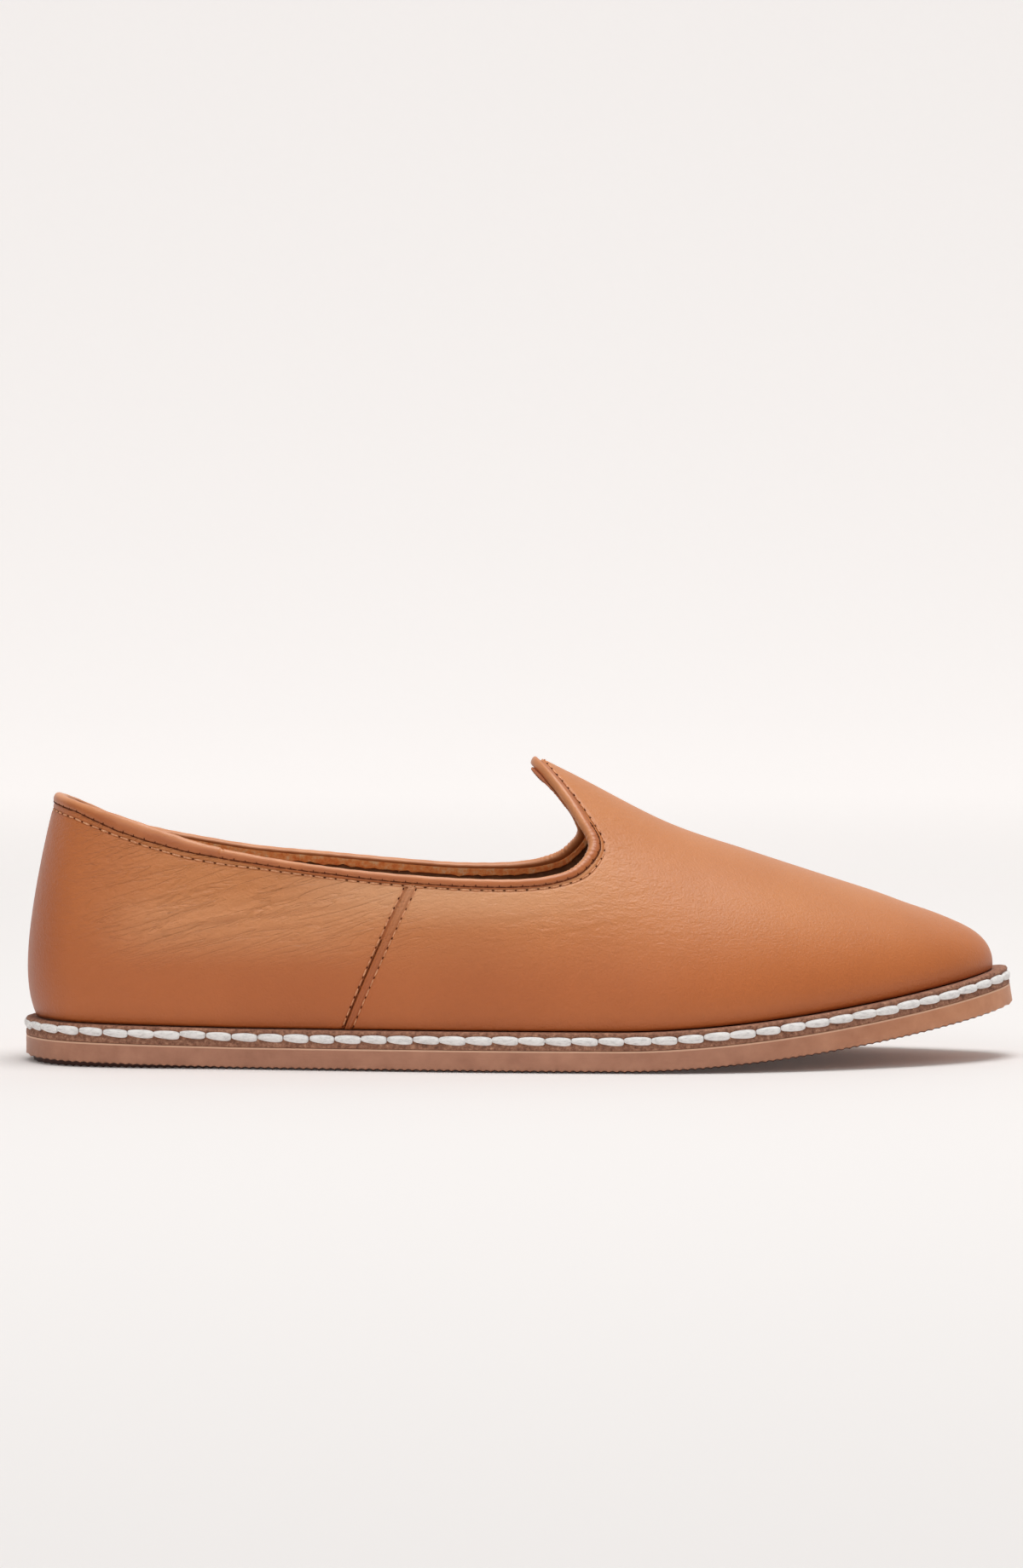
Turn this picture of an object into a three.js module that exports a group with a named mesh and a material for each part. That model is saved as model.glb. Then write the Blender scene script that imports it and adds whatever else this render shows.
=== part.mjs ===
// A leather slip-on shoe for the right foot: almond toe, peaked vamp, low open collar with a
// rounded binding, a stitched leather welt and a thin rubber outsole.
// Millimetres. +X runs from heel to toe, +Y to the inner side of the foot, +Z up.
// The sole is drawn with its back edge at x = 0 and its tread on z = 0, and the finished shoe
// is then set down with the middle of its bottom box on the origin.
import * as THREE from "three";

// Length and widths, over the edge of the sole
const length = 285.6;
const ballWidth = 96;
const heelWidth = 64;

// Toe spring: the tread is flat up to springStart, then lifts to toeSpring at the tip. At the
// heel the sole's edge, and all above it, rises by heelLift over the length heelLiftReach
const springStart = 170;
const toeSpring = 15.3;
const springPower = 1.7;
const heelLift = 1.2;
const heelLiftReach = 62;
const sideLean = 0.7; // how much of the sole's tilt its side edge takes

// Layers of the sole
const outsoleThickness = 6.2;
const weltThickness = 4.9;
const insoleThickness = 2.5;
const weltMargin = 3.1; // welt showing outside the upper
const toeMargin = 4.3; // the same at the tip of the toe
const treadChamferHeight = 0.9;
const treadChamferDepth = 1.2;
const weltLip = 1.3; // rounded upper corner of the welt
const gap = 0.3; // between pieces that are bonded or sewn together
const insoleGap = 0.6; // between the insole's edge and the wall, which leans in over it

// Upper: heights are above the top of the welt
const wall = 1.8; // leather and lining together
const backHeight = 62.5; // collar edge at the back seam
const sideHeight = 39.5; // lowest stretch of the collar, on the outer side
const innerRise = 1.8; // how much higher the inner side of the throat is
const innerThroatBack = 3.6; // how much further back the inner corner of the throat is
const instepHeight = 74.8; // crest of the vamp at its peak
const toeHeight = 21.8; // top of the toe box above the sprung sole
const counterRound = 2.8; // how far the heel swells past its own foot line
const counterHeight = 18; // height of the roundest part of the heel

// Binding round the collar, and the raised seams of the wall
const bindingWidth = 3;
const bindingHeight = 2.6;
const seamWidth = 4.4;
const seamRaise = 0.5;
const seamGroove = 0.2;
const backSeamWidth = 3.2;
const backSeamRaise = 0.4;

// Mesh steps
const quarterColumns = 20; // heel seam to side seam
const throatColumns = 20; // side seam to the peak of the vamp
const vampColumns = 15; // peak of the vamp to the toe
const wallRows = 12;
const bindingSides = 8;

const weltBase = outsoleThickness + gap;
const weltTop = weltBase + weltThickness;
const upperBase = weltTop + gap;

// Sections of the last from heel to toe. Columns: along, share of length; outer and inner, edge
// of the sole from the centre line, share of the local width; toBall, 0 where the local width is
// heelWidth and 1 where it is ballWidth; crestAlong and crestAcross, where the wall of this
// section would close over the foot, shares of length and ballWidth; crest, its height, 0 for
// toeHeight and 1 for instepHeight; swellOuter, swellInner and swellAt, shares of counterRound
// and counterHeight; fullness, the power of the section's curve, 2 for an ellipse.
const sections = [
  { along: 0, outer: 0, inner: 0, toBall: 0, crestAlong: 0.112, crestAcross: 0,
    crest: 1.48, swellOuter: 1, swellInner: 1, swellAt: 1, fullness: 2 },
  { along: 0.012, outer: 0.219, inner: 0.219, toBall: 0, crestAlong: 0.116, crestAcross: 0,
    crest: 1.48, swellOuter: 1, swellInner: 1, swellAt: 1, fullness: 2 },
  { along: 0.042, outer: 0.383, inner: 0.383, toBall: 0, crestAlong: 0.126, crestAcross: 0,
    crest: 1.485, swellOuter: 0.92, swellInner: 0.92, swellAt: 1, fullness: 2 },
  { along: 0.105, outer: 0.489, inner: 0.484, toBall: 0, crestAlong: 0.154, crestAcross: 0,
    crest: 1.495, swellOuter: 0.85, swellInner: 0.85, swellAt: 1, fullness: 2 },
  { along: 0.21, outer: 0.52, inner: 0.453, toBall: 0.1, crestAlong: 0.232, crestAcross: 0,
    crest: 1.485, swellOuter: 0.7, swellInner: 0.96, swellAt: 1, fullness: 2 },
  { along: 0.333, outer: 0.545, inner: 0.366, toBall: 0.35, crestAlong: 0.337, crestAcross: -0.01,
    crest: 1.374, swellOuter: 0.58, swellInner: 1.54, swellAt: 1.11, fullness: 2 },
  { along: 0.456, outer: 0.533, inner: 0.353, toBall: 0.7, crestAlong: 0.449, crestAcross: 0,
    crest: 1.185, swellOuter: 0.58, swellInner: 1.73, swellAt: 1.11, fullness: 1.9 },
  { along: 0.561, outer: 0.505, inner: 0.406, toBall: 1, crestAlong: 0.547, crestAcross: 0.016,
    crest: 0.934, swellOuter: 0.58, swellInner: 1.15, swellAt: 0.89, fullness: 1.78 },
  { along: 0.667, outer: 0.513, inner: 0.487, toBall: 1, crestAlong: 0.646, crestAcross: 0.036,
    crest: 0.651, swellOuter: 0.58, swellInner: 0.58, swellAt: 0.67, fullness: 1.85 },
  { along: 0.754, outer: 0.464, inner: 0.486, toBall: 1, crestAlong: 0.73, crestAcross: 0.057,
    crest: 0.457, swellOuter: 0.5, swellInner: 0.5, swellAt: 0.56, fullness: 1.95 },
  { along: 0.842, outer: 0.365, inner: 0.422, toBall: 1, crestAlong: 0.804, crestAcross: 0.078,
    crest: 0.276, swellOuter: 0.46, swellInner: 0.46, swellAt: 0.44, fullness: 2 },
  { along: 0.912, outer: 0.248, inner: 0.348, toBall: 1, crestAlong: 0.856, crestAcross: 0.094,
    crest: 0.142, swellOuter: 0.38, swellInner: 0.38, swellAt: 0.39, fullness: 2.05 },
  { along: 0.961, outer: 0.13, inner: 0.272, toBall: 1, crestAlong: 0.888, crestAcross: 0.101,
    crest: 0.049, swellOuter: 0.2, swellInner: 0.2, swellAt: 0.33, fullness: 2.1 },
  { along: 0.991, outer: 0.005, inner: 0.203, toBall: 1, crestAlong: 0.902, crestAcross: 0.103,
    crest: 0.009, swellOuter: 0.12, swellInner: 0.12, swellAt: 0.28, fullness: 2.1 },
  { along: 1, outer: -0.104, inner: 0.104, toBall: 1, crestAlong: 0.905, crestAcross: 0.104,
    crest: 0, swellOuter: 0.1, swellInner: 0.1, swellAt: 0.28, fullness: 2.1 },
];
const toeRow = sections.length - 1;

// Edge of the wall at the collar from the back seam to the peak of the vamp, seen from the side.
// Columns: along, share of length, where 0 is the heel's own curve; foot, where the same column of
// the wall stands on the welt, share of length; toBack and toPeak, how far the edge has risen from
// sideHeight to backHeight and to instepHeight; innerBack and innerUp, shares of innerThroatBack
// and innerRise that the inner side takes.
const collar = [
  { along: 0, foot: 0, toBack: 1, toPeak: 0, innerBack: 0, innerUp: 0 },
  { along: 0.098, foot: 0.095, toBack: 0.748, toPeak: 0, innerBack: 0.4, innerUp: -1.55 },
  { along: 0.139, foot: 0.133, toBack: 0.583, toPeak: 0, innerBack: 0.7, innerUp: -1 },
  { along: 0.179, foot: 0.168, toBack: 0.422, toPeak: 0, innerBack: 0.9, innerUp: -0.1 },
  { along: 0.238, foot: 0.214, toBack: 0.27, toPeak: 0, innerBack: 1, innerUp: 0.35 },
  { along: 0.322, foot: 0.277, toBack: 0.124, toPeak: 0, innerBack: 1, innerUp: 1 },
  { along: 0.392, foot: 0.328, toBack: 0.048, toPeak: 0, innerBack: 1, innerUp: 0.95 },
  { along: 0.449, foot: 0.386, toBack: 0.009, toPeak: 0, innerBack: 1, innerUp: 0.8 },
  { along: 0.502, foot: 0.442, toBack: 0, toPeak: 0.006, innerBack: 1, innerUp: 0.85 },
  { along: 0.533, foot: 0.49, toBack: 0, toPeak: 0.038, innerBack: 1, innerUp: 0.95 },
  { along: 0.557, foot: 0.54, toBack: 0, toPeak: 0.109, innerBack: 1, innerUp: 1 },
  { along: 0.573, foot: 0.59, toBack: 0, toPeak: 0.24, innerBack: 0.9, innerUp: 0.9 },
  { along: 0.577, foot: 0.64, toBack: 0, toPeak: 0.366, innerBack: 0.7, innerUp: 0.7 },
  { along: 0.566, foot: 0.7, toBack: 0, toPeak: 0.543, innerBack: 0.4, innerUp: 0.4 },
  { along: 0.548, foot: 0.755, toBack: 0, toPeak: 0.754, innerBack: 0.15, innerUp: 0.15 },
  { along: 0.522, foot: 0.81, toBack: 0, toPeak: 1, innerBack: 0, innerUp: 0 },
];
const sideSeamRow = 6; // row of the collar table where the side seam starts
const OUTER = -1;
const INNER = 1;

const { lerp, clamp } = THREE.MathUtils;

// Height of the tread's curve, and its slope
function springAt(x) {
  return toeSpring * Math.max(0, (x - springStart) / (length - springStart)) ** springPower;
}

function springSlope(x) {
  const step = 0.1;
  return (springAt(x + step) - springAt(x - step)) / (2 * step);
}

// A point of the sole, lifted from the tread square to its curve. The tread itself stays flat
// under the heel
function onSole(x, y, lift) {
  const tilt = Math.atan(springSlope(x));
  const heel = lift > 0 ? heelLift * Math.max(0, 1 - x / heelLiftReach) : 0;
  const z = springAt(x) + heel + lift * Math.cos(tilt);
  return new THREE.Vector3(x - lift * sideLean * Math.sin(tilt), y, z);
}

function edgePoint(section, side) {
  const width = lerp(heelWidth, ballWidth, section.toBall);
  const share = side === OUTER ? section.outer : section.inner;
  return new THREE.Vector3(section.along * length, side * share * width, 0);
}

// The edge of the sole as one closed curve: heel, outer side, toe, inner side
const outline = new THREE.CatmullRomCurve3(
  [
    ...sections.map((section) => edgePoint(section, OUTER)),
    ...sections.slice(1, toeRow).reverse().map((section) => edgePoint(section, INNER)),
  ],
  true,
  "centripetal",
);

// A point a given distance inside the edge of the sole
function insetPoint(u, inset, lift) {
  const wrapped = (u + 1) % 1;
  const edge = outline.getPoint(wrapped);
  const tangent = outline.getTangent(wrapped);
  return onSole(edge.x - tangent.y * inset, edge.y + tangent.x * inset, lift);
}

function outlineShare(side, row) {
  const share = row / (2 * toeRow);
  return side === OUTER ? share : 1 - share;
}

function solid(name, positions, indices, color, roughness) {
  const geometry = new THREE.BufferGeometry();
  const coordinates = positions.flatMap((point) => point.toArray());
  geometry.setAttribute("position", new THREE.Float32BufferAttribute(coordinates, 3));
  geometry.setIndex(indices);
  const material = new THREE.MeshStandardMaterial({ color, roughness, metalness: 0 });
  const mesh = new THREE.Mesh(geometry, material);
  mesh.name = name;
  return mesh;
}

function pushQuad(indices, a, b, c, d) {
  if (a !== b) {
    indices.push(a, b, c);
  }
  if (c !== d) {
    indices.push(a, c, d);
  }
}

// The same, split along its shorter diagonal
function pushShortQuad(indices, points, a, b, c, d) {
  if (points[a].distanceTo(points[c]) > points[b].distanceTo(points[d])) {
    pushQuad(indices, b, c, d, a);
  } else {
    pushQuad(indices, a, b, c, d);
  }
}

// Curves through the columns of the section table, so that any row between two can be read
function tableCurve(read) {
  return new THREE.CatmullRomCurve3(sections.map(read), false, "catmullrom", 0.5);
}

const crestCurve = tableCurve((s) => {
  const x = s.crestAlong * length;
  const height = lerp(toeHeight, instepHeight, s.crest);
  return new THREE.Vector3(x, s.crestAcross * ballWidth, upperBase + springAt(x) + height);
});
const swellCurve = tableCurve((s) => new THREE.Vector3(
  s.swellOuter * counterRound,
  s.swellInner * counterRound,
  s.swellAt * counterHeight,
));
const fullnessCurve = tableCurve((s) => new THREE.Vector3(s.fullness, 0, 0));

function crestSlope(row) {
  const step = 0.1;
  const before = crestCurve.getPoint(clamp((row - step) / toeRow, 0, 1));
  const after = crestCurve.getPoint(clamp((row + step) / toeRow, 0, 1));
  return (after.z - before.z) / (after.x - before.x);
}

// Where the wall meets the welt, or a point further in at the same place
function footPoint(side, row, further = 0, lift = upperBase) {
  const share = outlineShare(side, row);
  const margin = lerp(weltMargin, toeMargin, Math.max(0, outline.getPoint(share % 1).x / length) ** 4);
  return insetPoint(share, margin + further, lift);
}

// The outside of the upper. rise runs from 0 on the welt to 1 on the crest of the section
function upperPoint(side, row, rise) {
  const foot = footPoint(side, row);
  const crest = crestCurve.getPoint(row / toeRow);
  const swell = swellCurve.getPoint(row / toeRow);
  const power = 2 / fullnessCurve.getPoint(row / toeRow).x;
  const reach = Math.hypot(foot.x - crest.x, foot.y - crest.y);
  const across = Math.max(0, Math.cos(rise * Math.PI / 2)) ** power;
  const up = Math.sin(rise * Math.PI / 2) ** power;
  const ahead = (foot.x - crest.x) / reach;
  const aside = (foot.y - crest.y) / reach;
  const height = (crest.z - foot.z) * up + crestSlope(row) * ahead * reach * across * (1 - across);
  const swellShare = Math.max(0, height) / swell.z;
  const swellOut = side === OUTER ? swell.x : swell.y;
  const round = swellOut * swellShare * Math.exp(1 - swellShare) * (1 - up ** 6);
  const out = reach * across + round;
  return new THREE.Vector3(crest.x + ahead * out, crest.y + aside * out, foot.z + height);
}

function bisect(low, high, isBelow) {
  let [from, to] = [low, high];
  for (let step = 0; step < 40; step += 1) {
    const middle = (from + to) / 2;
    [from, to] = isBelow(middle) ? [middle, to] : [from, middle];
  }
  return (from + to) / 2;
}

function riseAtHeight(side, row, z) {
  return bisect(0, 1, (rise) => upperPoint(side, row, rise).z < z);
}

// The collar's edge seen from the side. It starts on the curve of the heel, and is mirrored past
// both ends so that it rounds the back seam and the peak of the vamp smoothly
function collarCurve(side) {
  const rows = collar.map((row) => {
    const up = side === INNER ? row.innerUp * innerRise : 0;
    const back = side === INNER ? row.innerBack * innerThroatBack : 0;
    const height = sideHeight + row.toBack * (backHeight - sideHeight)
      + row.toPeak * (instepHeight - sideHeight) + up;
    const along = row.along * length - back;
    return new THREE.Vector3(along, row.foot * length, upperBase + height);
  });
  rows[0].x = upperPoint(side, 0, riseAtHeight(side, 0, rows[0].z)).x;
  rows[0].y = footPoint(side, 0).x;
  return new THREE.CatmullRomCurve3([rows[1], ...rows, rows[rows.length - 2]], false, "centripetal");
}

// Where the collar passes a place of its table: the row and rise of its edge, and the foot's row
function collarColumn(side, curve, place) {
  const target = curve.getPoint((place + 1) / (collar.length + 1));
  const last = collar.length - 1;
  const edgeRow = place <= 0 ? 0 : bisect(0, toeRow, (row) => (
    upperPoint(side, row, riseAtHeight(side, row, target.z)).x < target.x
  ));
  const footRow = place <= 0 ? 0 : bisect(0, toeRow, (row) => footPoint(side, row).x < target.y);
  const edgeRise = place >= last ? 1 : riseAtHeight(side, edgeRow, target.z);
  return { side, footRow, edgeRow, edgeRise, raise: 0 };
}

// Places along the collar's table that lie the given lengths from its back seam
function placesAtLengths(side, curve, lengthsOf) {
  const samples = 150;
  const last = collar.length - 1;
  const run = [0];
  let previous = null;
  for (let i = 0; i <= samples; i += 1) {
    const column = collarColumn(side, curve, last * i / samples);
    const point = upperPoint(side, column.edgeRow, column.edgeRise);
    if (previous) {
      run.push(run[i - 1] + point.distanceTo(previous));
    }
    previous = point;
  }
  const seamAt = run[Math.round(samples * sideSeamRow / last)];
  return lengthsOf(seamAt, run[samples]).map((station) => {
    const i = clamp(run.findIndex((value) => value >= station.at), 1, samples);
    const share = (station.at - run[i - 1]) / (run[i] - run[i - 1]);
    return { place: last * (i - 1 + clamp(share, 0, 1)) / samples, raise: station.raise };
  });
}

function evenly(from, to, count, raise = 0) {
  return Array.from({ length: count }, (_, i) => ({ at: lerp(from, to, i / count), raise }));
}

// Stations along the collar: the back seam, the quarter, the side seam and the throat
function collarStations(seamAt, peakAt) {
  const edge = seamWidth / 2;
  const shoulder = edge - seamRaise;
  return [
    { at: 0, raise: backSeamRaise },
    ...evenly(backSeamWidth / 2, seamAt - edge, quarterColumns),
    { at: seamAt - edge, raise: 0 },
    { at: seamAt - shoulder, raise: seamRaise },
    { at: seamAt, raise: seamGroove },
    { at: seamAt + shoulder, raise: seamRaise },
    ...evenly(seamAt + edge, peakAt, throatColumns),
    { at: peakAt, raise: 0 },
  ];
}

// One side of the upper as columns from the back seam to the toe
function sideColumns(side) {
  const curve = collarCurve(side);
  const columns = placesAtLengths(side, curve, collarStations).map(({ place, raise }) => ({
    ...collarColumn(side, curve, place),
    raise,
  }));
  const peak = columns[columns.length - 1];
  for (let i = 1; i <= vampColumns; i += 1) {
    const share = i / vampColumns;
    columns.push({
      side,
      footRow: lerp(peak.footRow, toeRow, share),
      edgeRow: lerp(peak.edgeRow, toeRow, share),
      edgeRise: 1,
      raise: 0,
    });
  }
  return columns;
}

const outerColumns = sideColumns(OUTER);
const innerColumns = sideColumns(INNER);
const toeColumn = outerColumns.length - 1;
const peakColumn = toeColumn - vampColumns;
const columns = [...outerColumns, ...innerColumns.slice(1, toeColumn).reverse()];
const columnCount = columns.length;

// The two sides meet along the crest, so the inner side's top corners there are the outer side's
function cornerIndex(column, row) {
  const k = (column + columnCount) % columnCount;
  const onCrest = row === wallRows && k > toeColumn && k <= columnCount - peakColumn;
  return (onCrest ? columnCount - k : k) * (wallRows + 1) + row;
}

// The upper's two skins, its foot edge and its collar edge
function upperSkins() {
  const outside = [];
  for (const column of columns) {
    for (let j = 0; j <= wallRows; j += 1) {
      const share = j / wallRows;
      const row = lerp(column.footRow, column.edgeRow, share);
      outside.push(upperPoint(column.side, row, column.edgeRise * share));
    }
  }
  const skin = [];
  for (let k = 0; k < columnCount; k += 1) {
    for (let j = 0; j < wallRows; j += 1) {
      const [here, next] = [cornerIndex(k, j), cornerIndex(k + 1, j)];
      pushShortQuad(skin, outside, here, next, cornerIndex(k + 1, j + 1), cornerIndex(k, j + 1));
    }
  }
  const plain = solid("skin", outside, skin, 0xffffff, 1);
  plain.geometry.computeVertexNormals();
  const normal = plain.geometry.getAttribute("normal");
  const inside = outside.map((point, i) => (
    point.clone().addScaledVector(new THREE.Vector3().fromBufferAttribute(normal, i), -wall)
  ));
  columns.forEach((column, k) => {
    inside[cornerIndex(k, 0)] = footPoint(column.side, column.footRow, wall);
    for (let j = 0; j < wallRows; j += 1) {
      const i = cornerIndex(k, j);
      outside[i].addScaledVector(new THREE.Vector3().fromBufferAttribute(normal, i), column.raise);
    }
  });
  return { outside, inside, skin };
}

const skins = upperSkins();

// Columns that end at the collar, in order round the opening
const rimColumns = [];
for (let k = 0; k < columnCount; k += 1) {
  if (k <= peakColumn || k > columnCount - peakColumn) {
    rimColumns.push(k);
  }
}

function upper() {
  const { outside, inside, skin } = skins;
  const inner = outside.length;
  const indices = [...skin];
  for (let i = 0; i < skin.length; i += 3) {
    indices.push(inner + skin[i], inner + skin[i + 2], inner + skin[i + 1]);
  }
  for (let k = 0; k < columnCount; k += 1) {
    const here = cornerIndex(k, 0);
    const next = cornerIndex(k + 1, 0);
    pushQuad(indices, here, inner + here, inner + next, next);
  }
  rimColumns.forEach((k, i) => {
    const here = cornerIndex(k, wallRows);
    const next = cornerIndex(rimColumns[(i + 1) % rimColumns.length], wallRows);
    pushQuad(indices, here, next, inner + next, inner + here);
  });
  return solid("upper", [...outside, ...inside], indices, 0xb9703f, 0.55);
}

// A rounded bead of leather that stands on the edge of the wall, all round the opening
function collarBinding() {
  const rims = rimColumns.map((k) => {
    const i = cornerIndex(k, wallRows);
    return { outside: skins.outside[i], inside: skins.inside[i] };
  });
  const middles = rims.map((rim) => rim.outside.clone().lerp(rim.inside, 0.5));
  const positions = [];
  rims.forEach((rim, i) => {
    const before = middles[(i + rims.length - 1) % rims.length];
    const after = middles[(i + 1) % rims.length];
    const along = new THREE.Vector3().subVectors(after, before).normalize();
    const out = new THREE.Vector3().subVectors(rim.outside, rim.inside).normalize();
    const up = new THREE.Vector3().crossVectors(out, along).normalize();
    for (let side = 0; side < bindingSides; side += 1) {
      const angle = (side + 0.5) * 2 * Math.PI / bindingSides;
      const scale = 1 / Math.cos(Math.PI / bindingSides);
      const sideways = Math.cos(angle) * scale * bindingWidth / 2;
      const upwards = gap + (1 + Math.sin(angle) * scale) * bindingHeight / 2;
      positions.push(middles[i].clone().addScaledVector(out, sideways).addScaledVector(up, upwards));
    }
  });
  const indices = [];
  const at = (i, side) => (i % rims.length) * bindingSides + (side % bindingSides);
  for (let i = 0; i < rims.length; i += 1) {
    for (let side = 0; side < bindingSides; side += 1) {
      pushQuad(indices, at(i, side), at(i + 1, side), at(i + 1, side + 1), at(i, side + 1));
    }
  }
  return solid("collar_binding", positions, indices, 0xa8623a, 0.5);
}

// A layer of the sole: closed rings of points stacked from its bottom to its top, with their
// corners under the columns of the wall, closed by rungs that join the outer side to the inner
function soleLayer(name, rings, color, roughness) {
  const positions = rings.flatMap((ringPoint) => (
    columns.map(({ side, footRow }) => ringPoint(side, footRow))
  ));
  const indices = [];
  const at = (ring, k) => ring * columnCount + ((k + columnCount) % columnCount);
  for (let ring = 0; ring < rings.length - 1; ring += 1) {
    for (let k = 0; k < columnCount; k += 1) {
      pushQuad(indices, at(ring, k), at(ring, k + 1), at(ring + 1, k + 1), at(ring + 1, k));
    }
  }
  const top = rings.length - 1;
  for (let k = 0; k < toeColumn; k += 1) {
    pushQuad(indices, at(top, -k), at(top, k), at(top, k + 1), at(top, -k - 1));
    pushQuad(indices, at(0, k), at(0, -k), at(0, -k - 1), at(0, k + 1));
  }
  return solid(name, positions, indices, color, roughness);
}

// A ring a given distance inside the edge of the sole
function edgeRing(inset, lift) {
  return (side, row) => insetPoint(outlineShare(side, row), inset, lift);
}

function outsole() {
  const rings = [
    edgeRing(treadChamferDepth, 0),
    edgeRing(0, treadChamferHeight),
    edgeRing(0, outsoleThickness),
  ];
  return soleLayer("outsole", rings, 0xa87458, 0.6);
}

function welt() {
  const rings = [
    edgeRing(0, weltBase),
    edgeRing(0, weltTop - weltLip),
    edgeRing(weltLip, weltTop),
  ];
  return soleLayer("welt", rings, 0x6b4330, 0.85);
}

function insole() {
  const rings = [upperBase, upperBase + insoleThickness].map((lift) => (
    (side, row) => footPoint(side, row, wall + insoleGap, lift)
  ));
  return soleLayer("insole", rings, 0xb98a5e, 0.75);
}

const shoe = new THREE.Group();
shoe.add(outsole(), welt(), insole(), upper(), collarBinding());

const box = new THREE.Box3().setFromObject(shoe);
shoe.position.set(-(box.min.x + box.max.x) / 2, -(box.min.y + box.max.y) / 2, -box.min.z);

export default shoe;
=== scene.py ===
"""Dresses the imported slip-on shoe: leather upper, bound collar, stitched welt and rubber sole."""
import math

import bmesh
import bpy
import numpy as np
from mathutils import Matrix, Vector
from mathutils.kdtree import KDTree


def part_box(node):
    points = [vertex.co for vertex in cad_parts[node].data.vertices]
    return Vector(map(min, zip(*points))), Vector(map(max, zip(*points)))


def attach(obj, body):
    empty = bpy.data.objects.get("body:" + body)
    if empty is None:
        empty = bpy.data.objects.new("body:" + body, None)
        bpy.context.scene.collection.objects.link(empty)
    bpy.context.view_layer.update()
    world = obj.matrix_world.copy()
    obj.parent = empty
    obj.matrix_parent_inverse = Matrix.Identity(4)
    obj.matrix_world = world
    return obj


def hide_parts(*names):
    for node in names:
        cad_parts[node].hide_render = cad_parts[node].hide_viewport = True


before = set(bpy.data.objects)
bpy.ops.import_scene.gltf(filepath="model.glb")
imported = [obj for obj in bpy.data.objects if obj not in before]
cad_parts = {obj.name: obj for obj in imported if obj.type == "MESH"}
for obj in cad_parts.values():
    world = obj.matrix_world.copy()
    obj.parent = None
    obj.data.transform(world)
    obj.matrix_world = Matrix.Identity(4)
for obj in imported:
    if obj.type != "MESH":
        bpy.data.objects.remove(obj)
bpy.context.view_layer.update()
MM = 0.001

# Sizes of the shoe in millimetres, as its solids have them
LENGTH = 285.6
BALL_WIDTH = 96
HEEL_WIDTH = 64
SPRING_START = 170
TOE_SPRING = 15.3
SPRING_POWER = 1.7
HEEL_LIFT = 1.2
HEEL_LIFT_REACH = 62
SIDE_LEAN = 0.7
OUTSOLE = 6.2
WELT = 4.9
INSOLE = 2.5
WELT_MARGIN = 3.1
TOE_MARGIN = 4.3
GAP = 0.3
WALL = 1.8
BACK_HEIGHT = 62.5
SIDE_HEIGHT = 39.5
INNER_RISE = 1.8
INNER_THROAT_BACK = 3.6
INSTEP_HEIGHT = 74.8
TOE_HEIGHT = 21.8
COUNTER_ROUND = 2.8
COUNTER_HEIGHT = 18
WELT_BASE = OUTSOLE + GAP
WELT_TOP = WELT_BASE + WELT
UPPER_BASE = WELT_TOP + GAP
OUTER = -1
INNER = 1

# Sections of the last from heel to toe: along, outer and inner edge, heel to ball width, crest
# along and across, crest height, swell outer, inner and its height, fullness
SECTIONS = np.array([
    (0, 0, 0, 0, 0.112, 0, 1.48, 1, 1, 1, 2),
    (0.012, 0.219, 0.219, 0, 0.116, 0, 1.48, 1, 1, 1, 2),
    (0.042, 0.383, 0.383, 0, 0.126, 0, 1.485, 0.92, 0.92, 1, 2),
    (0.105, 0.489, 0.484, 0, 0.154, 0, 1.495, 0.85, 0.85, 1, 2),
    (0.21, 0.52, 0.453, 0.1, 0.232, 0, 1.485, 0.7, 0.96, 1, 2),
    (0.333, 0.545, 0.366, 0.35, 0.337, -0.01, 1.374, 0.58, 1.54, 1.11, 2),
    (0.456, 0.533, 0.353, 0.7, 0.449, 0, 1.185, 0.58, 1.73, 1.11, 1.9),
    (0.561, 0.505, 0.406, 1, 0.547, 0.016, 0.934, 0.58, 1.15, 0.89, 1.78),
    (0.667, 0.513, 0.487, 1, 0.646, 0.036, 0.651, 0.58, 0.58, 0.67, 1.85),
    (0.754, 0.464, 0.486, 1, 0.73, 0.057, 0.457, 0.5, 0.5, 0.56, 1.95),
    (0.842, 0.365, 0.422, 1, 0.804, 0.078, 0.276, 0.46, 0.46, 0.44, 2),
    (0.912, 0.248, 0.348, 1, 0.856, 0.094, 0.142, 0.38, 0.38, 0.39, 2.05),
    (0.961, 0.13, 0.272, 1, 0.888, 0.101, 0.049, 0.2, 0.2, 0.33, 2.1),
    (0.991, 0.005, 0.203, 1, 0.902, 0.103, 0.009, 0.12, 0.12, 0.28, 2.1),
    (1, -0.104, 0.104, 1, 0.905, 0.104, 0, 0.1, 0.1, 0.28, 2.1),
])
TOE_ROW = len(SECTIONS) - 1

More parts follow.
